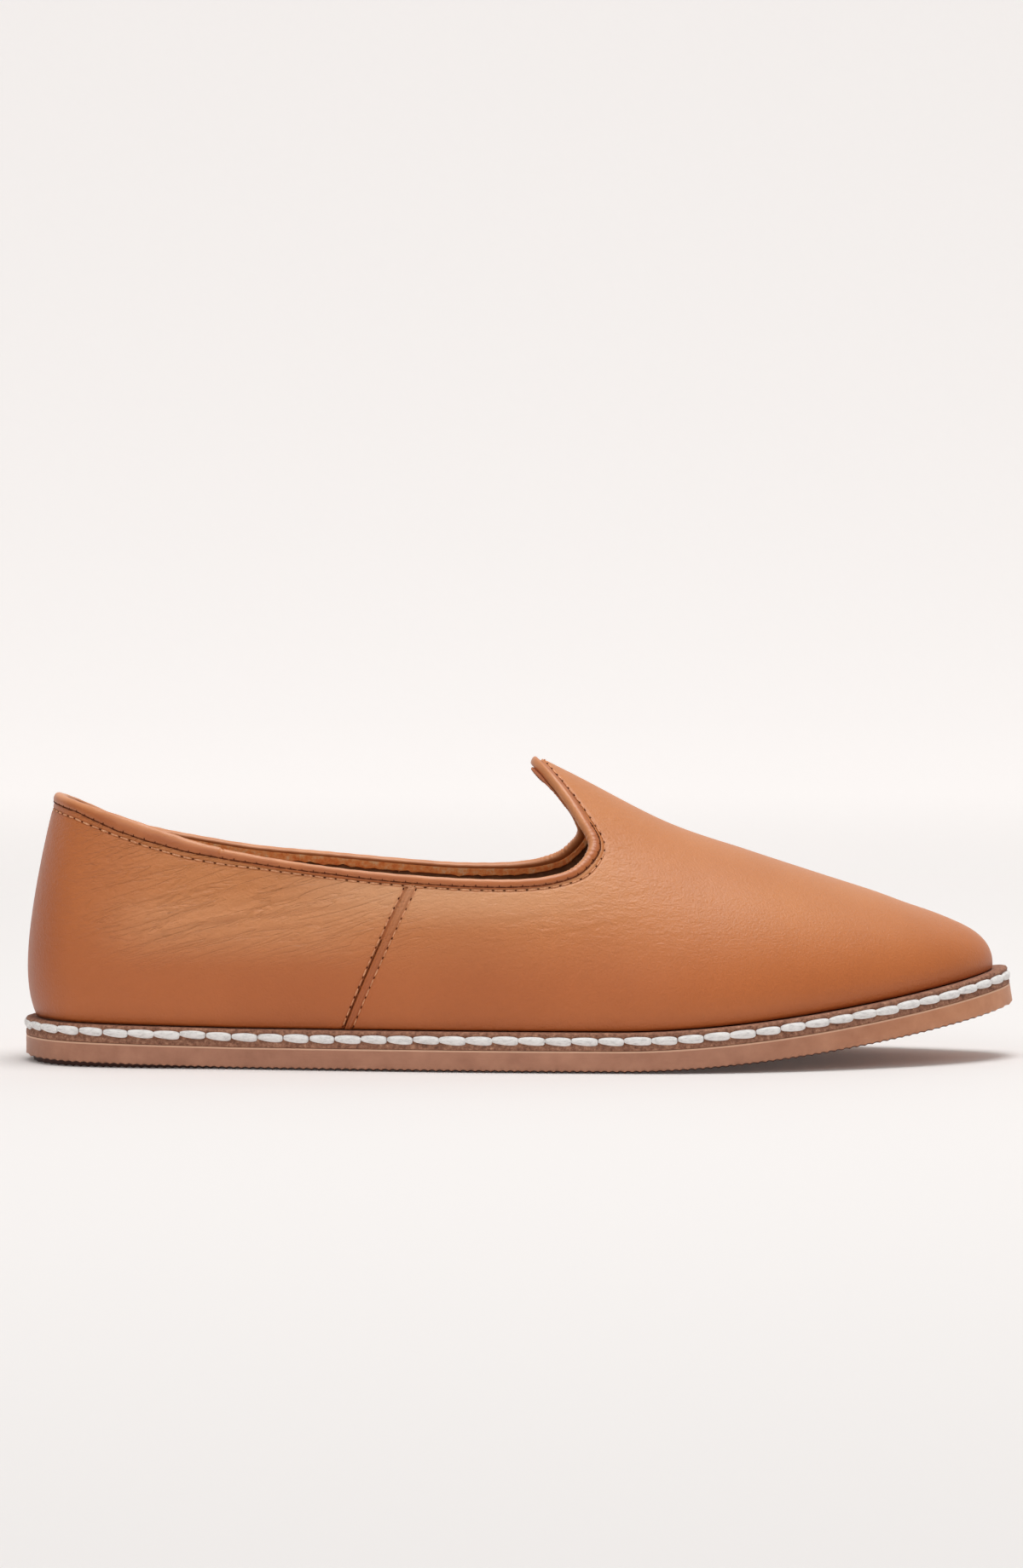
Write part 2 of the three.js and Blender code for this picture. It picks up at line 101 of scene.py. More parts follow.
# Edge of the collar from the back seam to the peak: along, foot, rise to the back, rise to the
# peak, shares of the inner side's differences: further back, further up
COLLAR = np.array([
    (0, 0, 1, 0, 0, 0),
    (0.098, 0.095, 0.748, 0, 0.4, -1.55),
    (0.139, 0.133, 0.583, 0, 0.7, -1),
    (0.179, 0.168, 0.422, 0, 0.9, -0.1),
    (0.238, 0.214, 0.27, 0, 1, 0.35),
    (0.322, 0.277, 0.124, 0, 1, 1),
    (0.392, 0.328, 0.048, 0, 1, 0.95),
    (0.449, 0.386, 0.009, 0, 1, 0.8),
    (0.502, 0.442, 0, 0.006, 1, 0.85),
    (0.533, 0.49, 0, 0.038, 1, 0.95),
    (0.557, 0.54, 0, 0.109, 1, 1),
    (0.573, 0.59, 0, 0.24, 0.9, 0.9),
    (0.577, 0.64, 0, 0.366, 0.7, 0.7),
    (0.566, 0.7, 0, 0.543, 0.4, 0.4),
    (0.548, 0.755, 0, 0.754, 0.15, 0.15),
    (0.522, 0.81, 0, 1, 0, 0),
])
PEAK_PLACE = len(COLLAR) - 1
SIDE_SEAM_PLACE = 6
COLLAR_STEPS = 16


def spline(points, at, closed=False, centripetal=False):
    """Points of a Catmull-Rom curve through a table, at places counted in rows."""
    at = np.atleast_1d(np.asarray(at, float))
    count = len(points)
    low = np.clip(np.floor(at), 0, count - (1 if closed else 2)).astype(int)
    share = (at - low)[:, None]
    if closed:
        p0, p1, p2, p3 = (points[(low + i) % count] for i in (-1, 0, 1, 2))
    else:
        padded = np.vstack([2 * points[0] - points[1], points, 2 * points[-1] - points[-2]])
        p0, p1, p2, p3 = (padded[low + i] for i in range(4))
    if centripetal:
        d0, d1, d2 = (
            np.sqrt(np.linalg.norm(b - a, axis=1))[:, None]
            for a, b in ((p0, p1), (p1, p2), (p2, p3))
        )
        t1 = ((p1 - p0) / d0 - (p2 - p0) / (d0 + d1) + (p2 - p1) / d1) * d1
        t2 = ((p2 - p1) / d1 - (p3 - p1) / (d1 + d2) + (p3 - p2) / d2) * d1
    else:
        t1 = (p2 - p0) / 2
        t2 = (p3 - p1) / 2
    bend = 3 * (p2 - p1) - 2 * t1 - t2
    return p1 + share * (t1 + share * (bend + share * (2 * (p1 - p2) + t1 + t2)))


def unit(vectors):
    return vectors / np.maximum(np.linalg.norm(vectors, axis=-1, keepdims=True), 1e-9)


def run_along(points):
    """Length run to each point of a line."""
    return np.concatenate([[0], np.cumsum(np.linalg.norm(np.diff(points, axis=0), axis=1))])


def spring_at(x):
    return TOE_SPRING * np.maximum(0, (x - SPRING_START) / (LENGTH - SPRING_START)) ** SPRING_POWER


def on_sole(x, y, lift):
    """A point of the sole, lifted from the tread square to its curve."""
    tilt = np.arctan((spring_at(x + 0.1) - spring_at(x - 0.1)) / 0.2)
    heel = np.where(lift > 0, HEEL_LIFT * np.maximum(0, 1 - x / HEEL_LIFT_REACH), 0)
    z = spring_at(x) + heel + lift * np.cos(tilt)
    return np.stack([x - lift * SIDE_LEAN * np.sin(tilt), y + 0 * x, z], axis=-1)


def sole_outline():
    """Corners of the sole's edge: heel, outer side, toe, inner side."""
    along, outer, inner, to_ball = SECTIONS[:, :4].T
    width = HEEL_WIDTH + to_ball * (BALL_WIDTH - HEEL_WIDTH)
    outer_edge = np.stack([along * LENGTH, -outer * width], axis=1)
    inner_edge = np.stack([along * LENGTH, inner * width], axis=1)
    return np.vstack([outer_edge, inner_edge[TOE_ROW - 1:0:-1]])


OUTLINE = sole_outline()


def outline_place(side, row):
    return np.where(np.asarray(side) < 0, row, 2 * TOE_ROW - np.asarray(row))


def outline_point(place):
    return spline(OUTLINE, place % (2 * TOE_ROW), closed=True, centripetal=True)


def inset_point(place, inset, lift):
    """A point a given distance inside the edge of the sole."""
    place = np.atleast_1d(np.asarray(place, float))
    edge = outline_point(place)
    tangent = unit(outline_point(place + 0.003) - outline_point(place - 0.003))
    x = edge[:, 0] - tangent[:, 1] * inset
    y = edge[:, 1] + tangent[:, 0] * inset
    return on_sole(x, y, np.asarray(lift, float))


CREST = np.stack([
    SECTIONS[:, 4] * LENGTH,
    SECTIONS[:, 5] * BALL_WIDTH,
    UPPER_BASE + spring_at(SECTIONS[:, 4] * LENGTH)
    + TOE_HEIGHT + SECTIONS[:, 6] * (INSTEP_HEIGHT - TOE_HEIGHT),
], axis=1)
SWELL = SECTIONS[:, 7:10] * (COUNTER_ROUND, COUNTER_ROUND, COUNTER_HEIGHT)
FULLNESS = SECTIONS[:, 10:]


def foot_point(side, row, further=0, lift=UPPER_BASE):
    """Where the wall meets the welt, or a point further in at the same place."""
    place = outline_place(side, row)
    x = np.maximum(0, outline_point(np.atleast_1d(place))[:, 0] / LENGTH)
    margin = WELT_MARGIN + (TOE_MARGIN - WELT_MARGIN) * x ** 4
    return inset_point(place, margin + further, lift)


def upper_point(side, row, rise):
    """The outside of the upper. rise runs from 0 on the welt to 1 on the crest."""
    row = np.clip(np.atleast_1d(np.asarray(row, float)), 0, TOE_ROW)
    foot = foot_point(side, row)
    crest = spline(CREST, row)
    before = spline(CREST, np.maximum(row - 0.1, 0))
    after = spline(CREST, np.minimum(row + 0.1, TOE_ROW))
    slope = (after[:, 2] - before[:, 2]) / (after[:, 0] - before[:, 0])
    swell = spline(SWELL, row)
    power = 2 / spline(FULLNESS, row)[:, 0]
    run = foot[:, :2] - crest[:, :2]
    reach = np.linalg.norm(run, axis=1)
    ahead, aside = (run / reach[:, None]).T
    across = np.maximum(0, np.cos(rise * math.pi / 2)) ** power
    up = np.sin(rise * math.pi / 2) ** power
    height = (crest[:, 2] - foot[:, 2]) * up + slope * ahead * reach * across * (1 - across)
    share = np.maximum(0, height) / swell[:, 2]
    swell_out = np.where(np.asarray(side) < 0, swell[:, 0], swell[:, 1])
    out = reach * across + swell_out * share * np.exp(1 - share) * (1 - up ** 6)
    return np.stack([
        crest[:, 0] + ahead * out,
        crest[:, 1] + aside * out,
        foot[:, 2] + height,
    ], axis=1)


def bisect(low, high, is_below):
    for _ in range(26):
        middle = (low + high) / 2
        below = is_below(middle)
        low = np.where(below, middle, low)
        high = np.where(below, high, middle)
    return (low + high) / 2


def rise_at_height(side, row, z):
    return bisect(np.zeros(len(z)), np.ones(len(z)), lambda rise: upper_point(side, row, rise)[:, 2] < z)


def collar_line(side):
    """The collar of one side as a fine table: length run, rows of its edge and foot, rise."""
    inner = 1 if side == INNER else 0
    height = SIDE_HEIGHT + COLLAR[:, 2] * (BACK_HEIGHT - SIDE_HEIGHT)
    height = height + COLLAR[:, 3] * (INSTEP_HEIGHT - SIDE_HEIGHT) + COLLAR[:, 5] * inner * INNER_RISE
    along = COLLAR[:, 0] * LENGTH - COLLAR[:, 4] * inner * INNER_THROAT_BACK
    rows = np.stack([along, COLLAR[:, 1] * LENGTH, UPPER_BASE + height], axis=1)
    heel_rise = rise_at_height(side, np.zeros(1), rows[:1, 2])
    rows[0, 0] = upper_point(side, 0, heel_rise)[0, 0]
    rows[0, 1] = foot_point(side, 0)[0, 0]
    rows = np.vstack([rows[1], rows, rows[-2]])
    places = np.linspace(0, PEAK_PLACE, COLLAR_STEPS * PEAK_PLACE + 1)
    target = spline(rows, places + 1, centripetal=True)
    full = np.full(len(places), float(TOE_ROW))
    edge_row = bisect(0 * full, full, lambda row: upper_point(
        side, row, rise_at_height(side, row, target[:, 2]))[:, 0] < target[:, 0])
    foot_row = bisect(0 * full, full, lambda row: foot_point(side, row)[:, 0] < target[:, 1])
    edge_row[0] = 0
    foot_row[0] = 0
    rise = rise_at_height(side, edge_row, target[:, 2])
    rise[-1] = 1
    points = upper_point(side, edge_row, rise)
    run = run_along(points)
    seam = run[SIDE_SEAM_PLACE * COLLAR_STEPS]
    return {"side": side, "run": run, "edge": edge_row, "foot": foot_row, "rise": rise, "seam": seam}


LINES = {side: collar_line(side) for side in (OUTER, INNER)}

# From the sole's own millimetres to the frame
sole_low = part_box("outsole")[0]
edge_sample = outline_point(np.linspace(0, 2 * TOE_ROW, 1400))
SHIFT = np.array([
    sole_low.x / MM - edge_sample[:, 0].min(),
    sole_low.y / MM - edge_sample[:, 1].min(),
    0,
])


# Grids that are moved onto the shoe's surfaces

def finish_mesh(bm, name, material):
    mesh = bpy.data.meshes.new(name)
    for face in bm.faces:
        face.smooth = True
    bm.to_mesh(mesh)
    bm.free()
    mesh.materials.append(material)
    piece = bpy.data.objects.new(name, mesh)
    bpy.context.scene.collection.objects.link(piece)
    return piece


def grid_piece(name, points, material, marks=None):
    """A grid moved to the given points in millimetres, with marks for its finish as UV."""
    columns, rows = points.shape[:2]
    bm = bmesh.new()
    bmesh.ops.create_grid(bm, x_segments=columns - 1, y_segments=rows - 1, size=1)
    flat = np.array([corner.co for corner in bm.verts])
    i = np.rint((flat[:, 0] + 1) / 2 * (columns - 1)).astype(int)
    j = np.rint((flat[:, 1] + 1) / 2 * (rows - 1)).astype(int)
    if marks is not None:
        layer = bm.loops.layers.uv.new("UVMap")
        bm.verts.index_update()
        for face in bm.faces:
            for loop in face.loops:
                k = loop.vert.index
                loop[layer].uv = marks[i[k], j[k]]
    placed = (points[i, j] + SHIFT) * MM
    for corner, place in zip(bm.verts, placed):
        corner.co = place
    bmesh.ops.remove_doubles(bm, verts=bm.verts, dist=2e-6)
    return finish_mesh(bm, name, material)


def thicken(piece, layer, thickness, offset=-1):
    """Gives a sheet its thickness in millimetres, inwards unless offset says otherwise."""
    solid = piece.modifiers.new(layer, "SOLIDIFY")
    solid.thickness = thickness * MM
    solid.offset = offset
    return piece


def grid_normals(points):
    """Outward normals at the corners of a grid whose first and last columns coincide."""
    padded = np.concatenate([points[-2:-1], points, points[1:2]])
    du = (padded[2:] - padded[:-2]) / 2
    return unit(np.cross(du, np.gradient(points, axis=1)))


def bump_curve(distance, half_width):
    """A soft hump: 1 in the middle, 0 from half_width outwards."""
    share = np.clip(np.abs(distance) / half_width, 0, 1)
    return (1 - share ** 2) ** 2


def steps(*runs):
    """Stations from runs of (start, end, spacing), with the last end kept."""
    stations = []
    for start, end, spacing in runs:
        count = max(1, round((end - start) / spacing))
        stations.extend(start + (end - start) * i / count for i in range(count))
    return np.array([*stations, runs[-1][1]])


# Columns of the upper, from the back seam over the outer side to the toe, and back

NEAR_EDGE = np.array([0, 0.35, 0.7, 1.05, 1.4, 1.8, 2.2, 2.6, 3, 3.4, 3.8, 4.4, 5])
WALL_ROWS = 56
VAMP_SHARES = steps((0, 0.05, 0.0035), (0.05, 1, 0.0117))[1:]
VAMP_COLUMNS = len(VAMP_SHARES)


def side_columns(line):
    peak = line["run"][-1]
    seam = line["seam"]
    coarse = 0.78 if line["side"] == OUTER else 1.35
    run = steps(
        (0, 2.8, 0.4), (2.8, seam - 3, coarse), (seam - 3, seam + 3, 0.27),
        (seam + 3, peak - 6, coarse), (peak - 6, peak, 0.5),
    )
    columns = {key: np.interp(run, line["run"], line[key]) for key in ("edge", "foot", "rise")}
    columns["seam"] = run - seam
    columns["run"] = run
    for key in ("edge", "foot"):
        last = columns[key][-1]
        columns[key] = np.concatenate([columns[key], last + (TOE_ROW - last) * VAMP_SHARES])
    columns["rise"] = np.concatenate([columns["rise"], np.ones(VAMP_COLUMNS)])
    columns["seam"] = np.concatenate([columns["seam"], np.full(VAMP_COLUMNS, 99.0)])
    columns["run"] = np.concatenate([run, np.full(VAMP_COLUMNS, peak)])
    columns["side"] = np.full(len(columns["edge"]), float(line["side"]))
    columns["collar"] = len(run)
    return columns


outer_columns = side_columns(LINES[OUTER])
inner_columns = side_columns(LINES[INNER])
COLUMNS = {
    key: np.concatenate([outer_columns[key], inner_columns[key][-2::-1]])
    for key in ("edge", "foot", "rise", "seam", "run", "side")
}
COLUMN_COUNT = len(COLUMNS["edge"])
OUTER_COLLAR = outer_columns["collar"]
INNER_COLLAR = inner_columns["collar"]


def wall_points(shares):
    """Points of the wall at shares from foot to edge, one row of shares for each column."""
    rows = shares.shape[1]
    side = np.repeat(COLUMNS["side"], rows)
    foot = COLUMNS["foot"][:, None]
    row = (foot + (COLUMNS["edge"][:, None] - foot) * shares).ravel()
    rise = (COLUMNS["rise"][:, None] * shares).ravel()
    return upper_point(side, row, rise).reshape(COLUMN_COUNT, rows, 3)


def wall_shares():
    """Shares of each column: fine rows near the edge, then even ones down to the foot."""
    coarse = np.linspace(0, 1, 91)
    points = wall_points(np.tile(coarse, (COLUMN_COUNT, 1)))
    lengths = np.linalg.norm(np.diff(points, axis=1), axis=2)
    below = np.concatenate([np.zeros((COLUMN_COUNT, 1)), np.cumsum(lengths, axis=1)], axis=1)
    shares = []
    for k in range(COLUMN_COUNT):
        total = below[k, -1]
        down = np.concatenate([NEAR_EDGE, np.linspace(NEAR_EDGE[-1], total, WALL_ROWS + 1)[1:]])
        shares.append(np.interp(total - down[::-1], below[k], coarse))
    shares = np.array(shares)
    shares[:, 0] = 0
    shares[:, -1] = 1
    return shares


def join_along_crest(values, average):
    """Makes the two sides meet along the vamp's crest."""
    column = np.arange(VAMP_COLUMNS + 1)
    outer = OUTER_COLLAR - 1 + column
    inner = COLUMN_COUNT - INNER_COLLAR - column
    crest = values[outer, -1]
    if average:
        crest = (crest + values[inner, -1]) / 2
    values[outer, -1] = values[inner, -1] = crest
    return values


WALL_POINTS = join_along_crest(wall_points(wall_shares()), False)
WALL_NORMALS = unit(join_along_crest(grid_normals(WALL_POINTS), True))

# The collar's rim as one closed line: outer side forward, inner side back
RIM_COLUMNS = np.concatenate([
    np.arange(OUTER_COLLAR),
    np.arange(COLUMN_COUNT - INNER_COLLAR + 1, COLUMN_COUNT),
])


def resample(values, run, stations):
    return np.stack([np.interp(stations, run, values[:, k]) for k in range(values.shape[1])], axis=1)


def from_back(run, total):
    """Distance from the back seam for a place on the rim, as it is on the outer side."""
    outer = LINES[OUTER]["run"][-1]
    return np.where(run <= outer, run, (total - run) * outer / (total - outer))


RIM_REACH = 12.0


def distance_to_rim():
    """How far each corner of the wall lies from the collar's edge, within reach, and where."""
    rim = WALL_POINTS[RIM_COLUMNS, -1]
    run = run_along(rim)
    at = np.arange(0, run[-1], 0.25)
    fine = resample(rim, run, at)
    tree = KDTree(len(fine))
    for k, point in enumerate(fine):
        tree.insert(point, k)
    tree.balance()
    distance = np.full(WALL_POINTS.shape[:2], RIM_REACH)
    place = np.zeros(WALL_POINTS.shape[:2])
    for k in range(COLUMN_COUNT):
        for j in range(WALL_POINTS.shape[1] - 1, -1, -1):
            _, nearest, found = tree.find(WALL_POINTS[k, j])
            if found > RIM_REACH:
                break
            distance[k, j] = found
            place[k, j] = at[nearest]
    return distance, from_back(place, run[-1])


RIM_DISTANCE, RIM_PLACE = distance_to_rim()

# Along the collar from the back seam to the peak: the binding's lower border above the edge of
# the wall, and the light row of stitches below that edge
BORDER = np.array([
    (0, 0.2), (19, 0.2), (33, -1.3), (42, -1.3), (52, -0.7), (60, 0), (75, 0.6), (98, 0.9),
    (115, 0.6), (152, 0.5), (165, 0.25), (180, -0.2), (192, 0.5), (222, 0.7),
])
LIGHT_ROW = np.array([
    (0, 2), (19, 1.9), (33, 2.8), (44, 2.9), (52, 2.5), (60, 1.9), (68, 1.4), (76, 0.8),
    (88, 0.5), (100, 0.4), (134, 0.45), (156, 0.6), (164, 1), (171, 1.7), (181, 1.7),
    (188, 1.1), (203, 0.7), (222, 0.7),
])
ROW_OFFSET = RIM_DISTANCE - np.interp(RIM_PLACE, *LIGHT_ROW.T)


def light_row():
    """Points and normals on the wall where the light row of stitches runs under the binding."""
    points = []
    normals = []
    for k in range(COLUMN_COUNT):
        away = ROW_OFFSET[k, ::-1]
        if away[0] > 0:
            continue
        j = int(np.argmax(away > 0))
        share = -away[j - 1] / (away[j] - away[j - 1])
        low, high = -j, -j - 1
        points.append(WALL_POINTS[k, low] * (1 - share) + WALL_POINTS[k, high] * share)
        normals.append(WALL_NORMALS[k, low] * (1 - share) + WALL_NORMALS[k, high] * share)
    return np.array(points), np.array(normals)


RIM_LENGTH = run_along(WALL_POINTS[RIM_COLUMNS, -1])[-1]

# The upper's leather

LEATHER = 1.1
LINING = 0.6
LINING_INSET = 1.2
SEAM_HALF = 1.75

# Main creases of the quarters: depth, then points along and up from heel to throat
CREASES = [
    (0.2, (31, 38), (37.5, 39.5), (45, 42.5), (53, 45.5), (58.5, 47)),
    (0.24, (34, 36.5), (41, 37.5), (49.5, 40), (56, 41.5), (64, 42.5), (75, 44), (87, 46)),
    (0.18, (31.5, 40), (36.5, 41), (43.5, 43.5), (52, 46), (56, 48)),
    (0.14, (39, 44.5), (47, 47), (58, 49.5), (68, 51.5)),
    (0.16, (35, 34.5), (42.5, 36), (51, 38), (59, 39.5)),
    (0.2, (43.5, 36.5), (53, 40), (61.5, 42.5), (68, 45), (72.5, 47.5)),
    (0.16, (60, 45.5), (68, 48), (75, 50.5), (80, 51.5)),
    (0.16, (31.5, 53), (41, 56), (49, 58)),
    (0.12, (36.5, 47.5), (46, 49), (55.5, 51.5)),
    (0.16, (68, 42), (80, 44), (92, 46), (99, 47.5)),
    (0.12, (39, 33), (48.5, 34.5), (60.5, 37)),
    (0.12, (68, 46), (78.5, 48), (92, 50)),
    (0.1, (65.5, 38.5), (77.5, 40), (92, 41.5)),
    (0.1, (29, 47), (39, 48.5)),
    (0.08, (124, 42), (140, 42.5), (155, 44)),
    (0.08, (150, 38), (166, 41), (182, 43)),
    (0.08, (163, 47), (176, 49.5), (188, 50.5)),
]


def crease_relief():
    """Soft troughs along the main creases, each with a low ridge above it."""
    place = WALL_POINTS[:, :, [0, 2]].reshape(-1, 2)
    relief = np.zeros(len(place))
    for depth, *line in CREASES:
        line = np.array(line, float)
        fine = spline(line, np.linspace(0, len(line) - 1, 14 * len(line)))
        fade = np.sin(np.linspace(0.12, math.pi - 0.12, len(fine))) ** 0.7
        beside = (place > line.min(axis=0) - 4) & (place < line.max(axis=0) + 4)
        near = np.flatnonzero(np.all(beside, axis=1))
        away = place[near, None] - fine[None]
        distance = np.linalg.norm(away, axis=2)
        nearest = distance.argmin(axis=1)
        each = np.arange(len(near))
        signed = distance[each, nearest] * np.sign(away[each, nearest, 1])
        relief[near] += 1.55 * depth * fade[nearest] * (
            0.6 * bump_curve(signed - 0.95, 1) - bump_curve(signed, 0.85))
    return relief.reshape(WALL_POINTS.shape[:2])


def seam_relief(across):
    """Profile across a side seam: two stitched rows, a groove beside the first, ribs between."""
    across = np.asarray(across)
    return (
        0.3 * bump_curve(across - 0.1, 2.7)
        - 0.26 * bump_curve(across + SEAM_HALF, 0.7)
        - 0.26 * bump_curve(across - SEAM_HALF, 0.7)
        - 0.8 * bump_curve(across + 1.05, 0.5)
        + 0.16 * bump_curve(across + 0.4, 0.45)
        - 0.12 * bump_curve(across - 0.1, 0.4)
        + 0.12 * bump_curve(across - 0.75, 0.5)
    )


def wall_relief():
    """How far the leather's surface stands off the plain wall, in millimetres."""
    rows = WALL_POINTS.shape[1]
    run = np.repeat(COLUMNS["run"][:, None], rows, axis=1)
    relief = crease_relief()
    relief += seam_relief(np.repeat(COLUMNS["seam"][:, None], rows, axis=1))
    relief += 0.25 * bump_curve(run, 2.4) - 0.15 * bump_curve(run, 0.6)
    relief -= 0.3 * bump_curve(ROW_OFFSET, 0.8)
    return relief


def upper_leather(material):
    points = WALL_POINTS + WALL_NORMALS * wall_relief()[:, :, None]
    # UV marks the strip between the side seam's two rows; the finish paints it darker as shade.
    strip = np.zeros((*points.shape[:2], 2))
    strip[:, :, 0] = (np.abs(COLUMNS["seam"]) < SEAM_HALF)[:, None]
    return thicken(grid_piece("upper_leather", points, material, strip), "leather", LEATHER)


def lining(material):
    points = (WALL_POINTS - WALL_NORMALS * LINING_INSET)[:, :-1]
    return thicken(grid_piece("lining", points, material), "lining", LINING)


# Binding of the collar

def rim_frames(spacing):
    """Middle of the wall's edge with its directions outwards and up, all round."""
    outside = WALL_POINTS[RIM_COLUMNS, -1]
    inside = outside - WALL_NORMALS[RIM_COLUMNS, -1] * WALL
    middle = (outside + inside) / 2
    out = (outside - inside) / WALL
    run = run_along(middle)
    count = round(run[-1] / spacing)
    stations = np.linspace(0, run[-1], count + 1)
    middle = resample(middle, run, stations)
    out = resample(out, run, stations)
    for _ in range(6):
        out[1:-1] = (out[:-2] + 2 * out[1:-1] + out[2:]) / 4
    joint = middle[1:2] - middle[-2:-1]
    along = unit(np.concatenate([joint, middle[2:] - middle[:-2], joint]))
    out = unit(out - along * np.sum(out * along, axis=1)[:, None])
    return stations, middle, out, np.cross(out, along)


# Roll of the binding: across the wall, outwards positive, and share of the height above its border
ROLL = np.array([
    (1.26, 0.03), (1.43, 0.15), (1.55, 0.38), (1.5, 0.6), (1.3, 0.8), (0.95, 0.92), (0.5, 0.985),
    (0, 1), (-0.5, 0.985), (-0.95, 0.92), (-1.3, 0.8), (-1.5, 0.6), (-1.55, 0.38), (-1.43, 0.15),
    (-1.26, 0.03),
])
ROLL_TOP = 2.9
# How far above the wall's edge the binding's inner border lies, along the collar
INNER_BORDER = np.array([(150, 1.45), (173, 0.5)])
JOINT_PLACE = 63
DARK_ROW_END = 190
BINDING_FRAMES = rim_frames(0.4)


def gathers(place):
    """Small folds of the binding, strongest where it turns at the corners of the throat."""
    folds = 0.012 * np.sin(place * 0.9 + 2 * np.sin(place * 0.13))
    near = np.exp(-((place - 178) / 12) ** 2)
    folds += near * 0.045 * np.sin(place * 4.6 + 2.2 * np.sin(place * 0.8))
    return folds


def overlap_joint(stations):
    """The step where the ends of the binding lap over each other, on the outer side."""
    step = 0.025 * (1 - np.tanh((stations - JOINT_PLACE) / 0.3))
    return step - 0.1 * bump_curve(stations - JOINT_PLACE - 0.4, 0.7)


def binding_places():
    """Places along the binding, with its frames and how close each is to the peak."""
    stations, middle, out, up = BINDING_FRAMES
    place = from_back(stations / stations[-1] * RIM_LENGTH, RIM_LENGTH)
    peak = np.exp(-((place - place.max()) / 7) ** 2)
    middle = middle - np.array([0.9, 0, 0.4]) * peak[:, None]
    return place, middle, out, up, peak


def collar_binding(material):
    place, middle, out, up, peak = binding_places()
    border = np.interp(place, *BORDER.T)
    grow = (1 + gathers(place) + overlap_joint(BINDING_FRAMES[0])) * (1 - 0.12 * peak)
    inner = np.interp(place, *INNER_BORDER.T)
    top = ROLL_TOP - 0.5 * peak
    even = np.ones(len(place))
    section = [(0.93 * even, np.minimum(border, 0) - 0.15), (even, border - 0.05)]
    for across, share in ROLL:
        low = border if across > 0 else inner
        section.append((across * grow, low + (top * grow - low) * share))
    section += [
        (-even, inner - 0.05), (-0.93 * even, -0.15 * even), (-0.5 * even, -0.05 * even),
        (0.5 * even, -0.05 * even), section[0],
    ]
    points = np.stack([
        middle + out * across[:, None] + up * rise[:, None] for across, rise in section
    ], axis=1)
    # UV marks the roll's crown, which the finish paints lighter as a highlight.
    crown_highlight = np.zeros((*points.shape[:2], 2))
    crown_highlight[:, 2:2 + len(ROLL), 0] = np.interp(ROLL[:, 1], (0.35, 0.85), (0, 1))
    return grid_piece("collar_binding_leather", points, material, crown_highlight)


def border_line(across, above):
    """Points and outward directions of a line beside the lower border of the binding."""
    place, middle, out, up, _ = binding_places()
    border = np.interp(place, *BORDER.T)
    points = middle + out * across + up * (border + above)[:, None]
    ahead = int(np.argmax(place > DARK_ROW_END))
    behind = len(place) - int(np.argmax(place[::-1] > DARK_ROW_END))
    order = [*range(behind, len(place) - 1), *range(ahead)]
    return points[order], out[order]


# Layers of the sole

def even_rows(count):
    """Rows of the sole's outline, evenly spaced along its outer edge."""
    rows = np.linspace(0, TOE_ROW, 2001)
    run = run_along(np.pad(outline_point(rows), ((0, 0), (0, 1))))
    return np.interp(np.linspace(0, run[-1], count + 1), run, rows)


def sole_layer(point_at, wall, across):
    """Sections from heel to toe: up the outer wall, over the top, down the inner wall, back."""
    outer, inner = ([point_at(side, *place) for place in wall] for side in (OUTER, INNER))
    share = np.linspace(0, 1, across + 1)[1:-1]
    top = [outer[-1] * (1 - t) + inner[-1] * t for t in share]
    bottom = [inner[0] * (1 - t) + outer[0] * t for t in share]
    return np.stack([*outer, *top, *inner[::-1], *bottom, outer[0]], axis=1)


def sole_wall(count):
    """Points of the sole's wall at even rows, by side, inset and lift."""
    rows = even_rows(count)
    return lambda side, inset, lift: inset_point(outline_place(side, rows), inset, lift)


TREAD_PITCH = 2.2
TREAD_DEPTH = 0.34
TREAD_REACH = 0.4
TOOTH = 0.46


def tread_ribs(points):
    """Fine ribs across the tread, cut up into it, and a toothed lower edge of its side."""
    x = points[:, :, 0]
    tooth = (0.5 - 0.5 * np.cos(x * 2 * math.pi / TREAD_PITCH)) ** 0.7
    lift = points[:, :, 2] - spring_at(x)
    points[:, :, 2] += TREAD_DEPTH * tooth * np.clip(1 - lift / TREAD_REACH, 0, 1)
    edge = np.isin(np.arange(points.shape[1]), EDGE_ROWS)
    points[:, :, 2] += np.where(edge, TOOTH * (tooth - 0.5), 0)
    return points


OUTSOLE_WALL = [
    (4, 0), (2.2, 0), (1.9, 0.2), (1.6, 0.5), (0.5, 0.65), (0.12, 0.75), (0, 1), (0, 2.4),
    (0.02, 3.6), (0, 4.8), (0.02, 5.6), (0, 6), (0.02, 6.15), (0.2, 6.3),
]
OUTSOLE_ACROSS = 24


def both_sides(rows):
    """The given rows of the outsole's section with their twins on the inner side."""
    return [*rows, *(2 * len(OUTSOLE_WALL) + OUTSOLE_ACROSS - 2 - k for k in rows)]


EDGE_ROWS = both_sides((4, 5, 6))
UNDERCUT_ROWS = both_sides((1, 2, 3))
LIP_ROWS = both_sides((11, 12))


def outsole(material):
    points = tread_ribs(sole_layer(sole_wall(760), OUTSOLE_WALL, OUTSOLE_ACROSS))
    marks = np.zeros((*points.shape[:2], 2))
    # UV marks the undercut under the tread's edge, which the finish paints dark as shade.
    marks[:, UNDERCUT_ROWS, 0] = 1
    # UV marks the top lip, which the finish paints lighter as a highlight.
    marks[:, LIP_ROWS, 1] = 1
    return grid_piece("outsole_rubber", points, material, marks)


# Middle of the stitches' channel over the welt's base
CHANNEL = 2.55


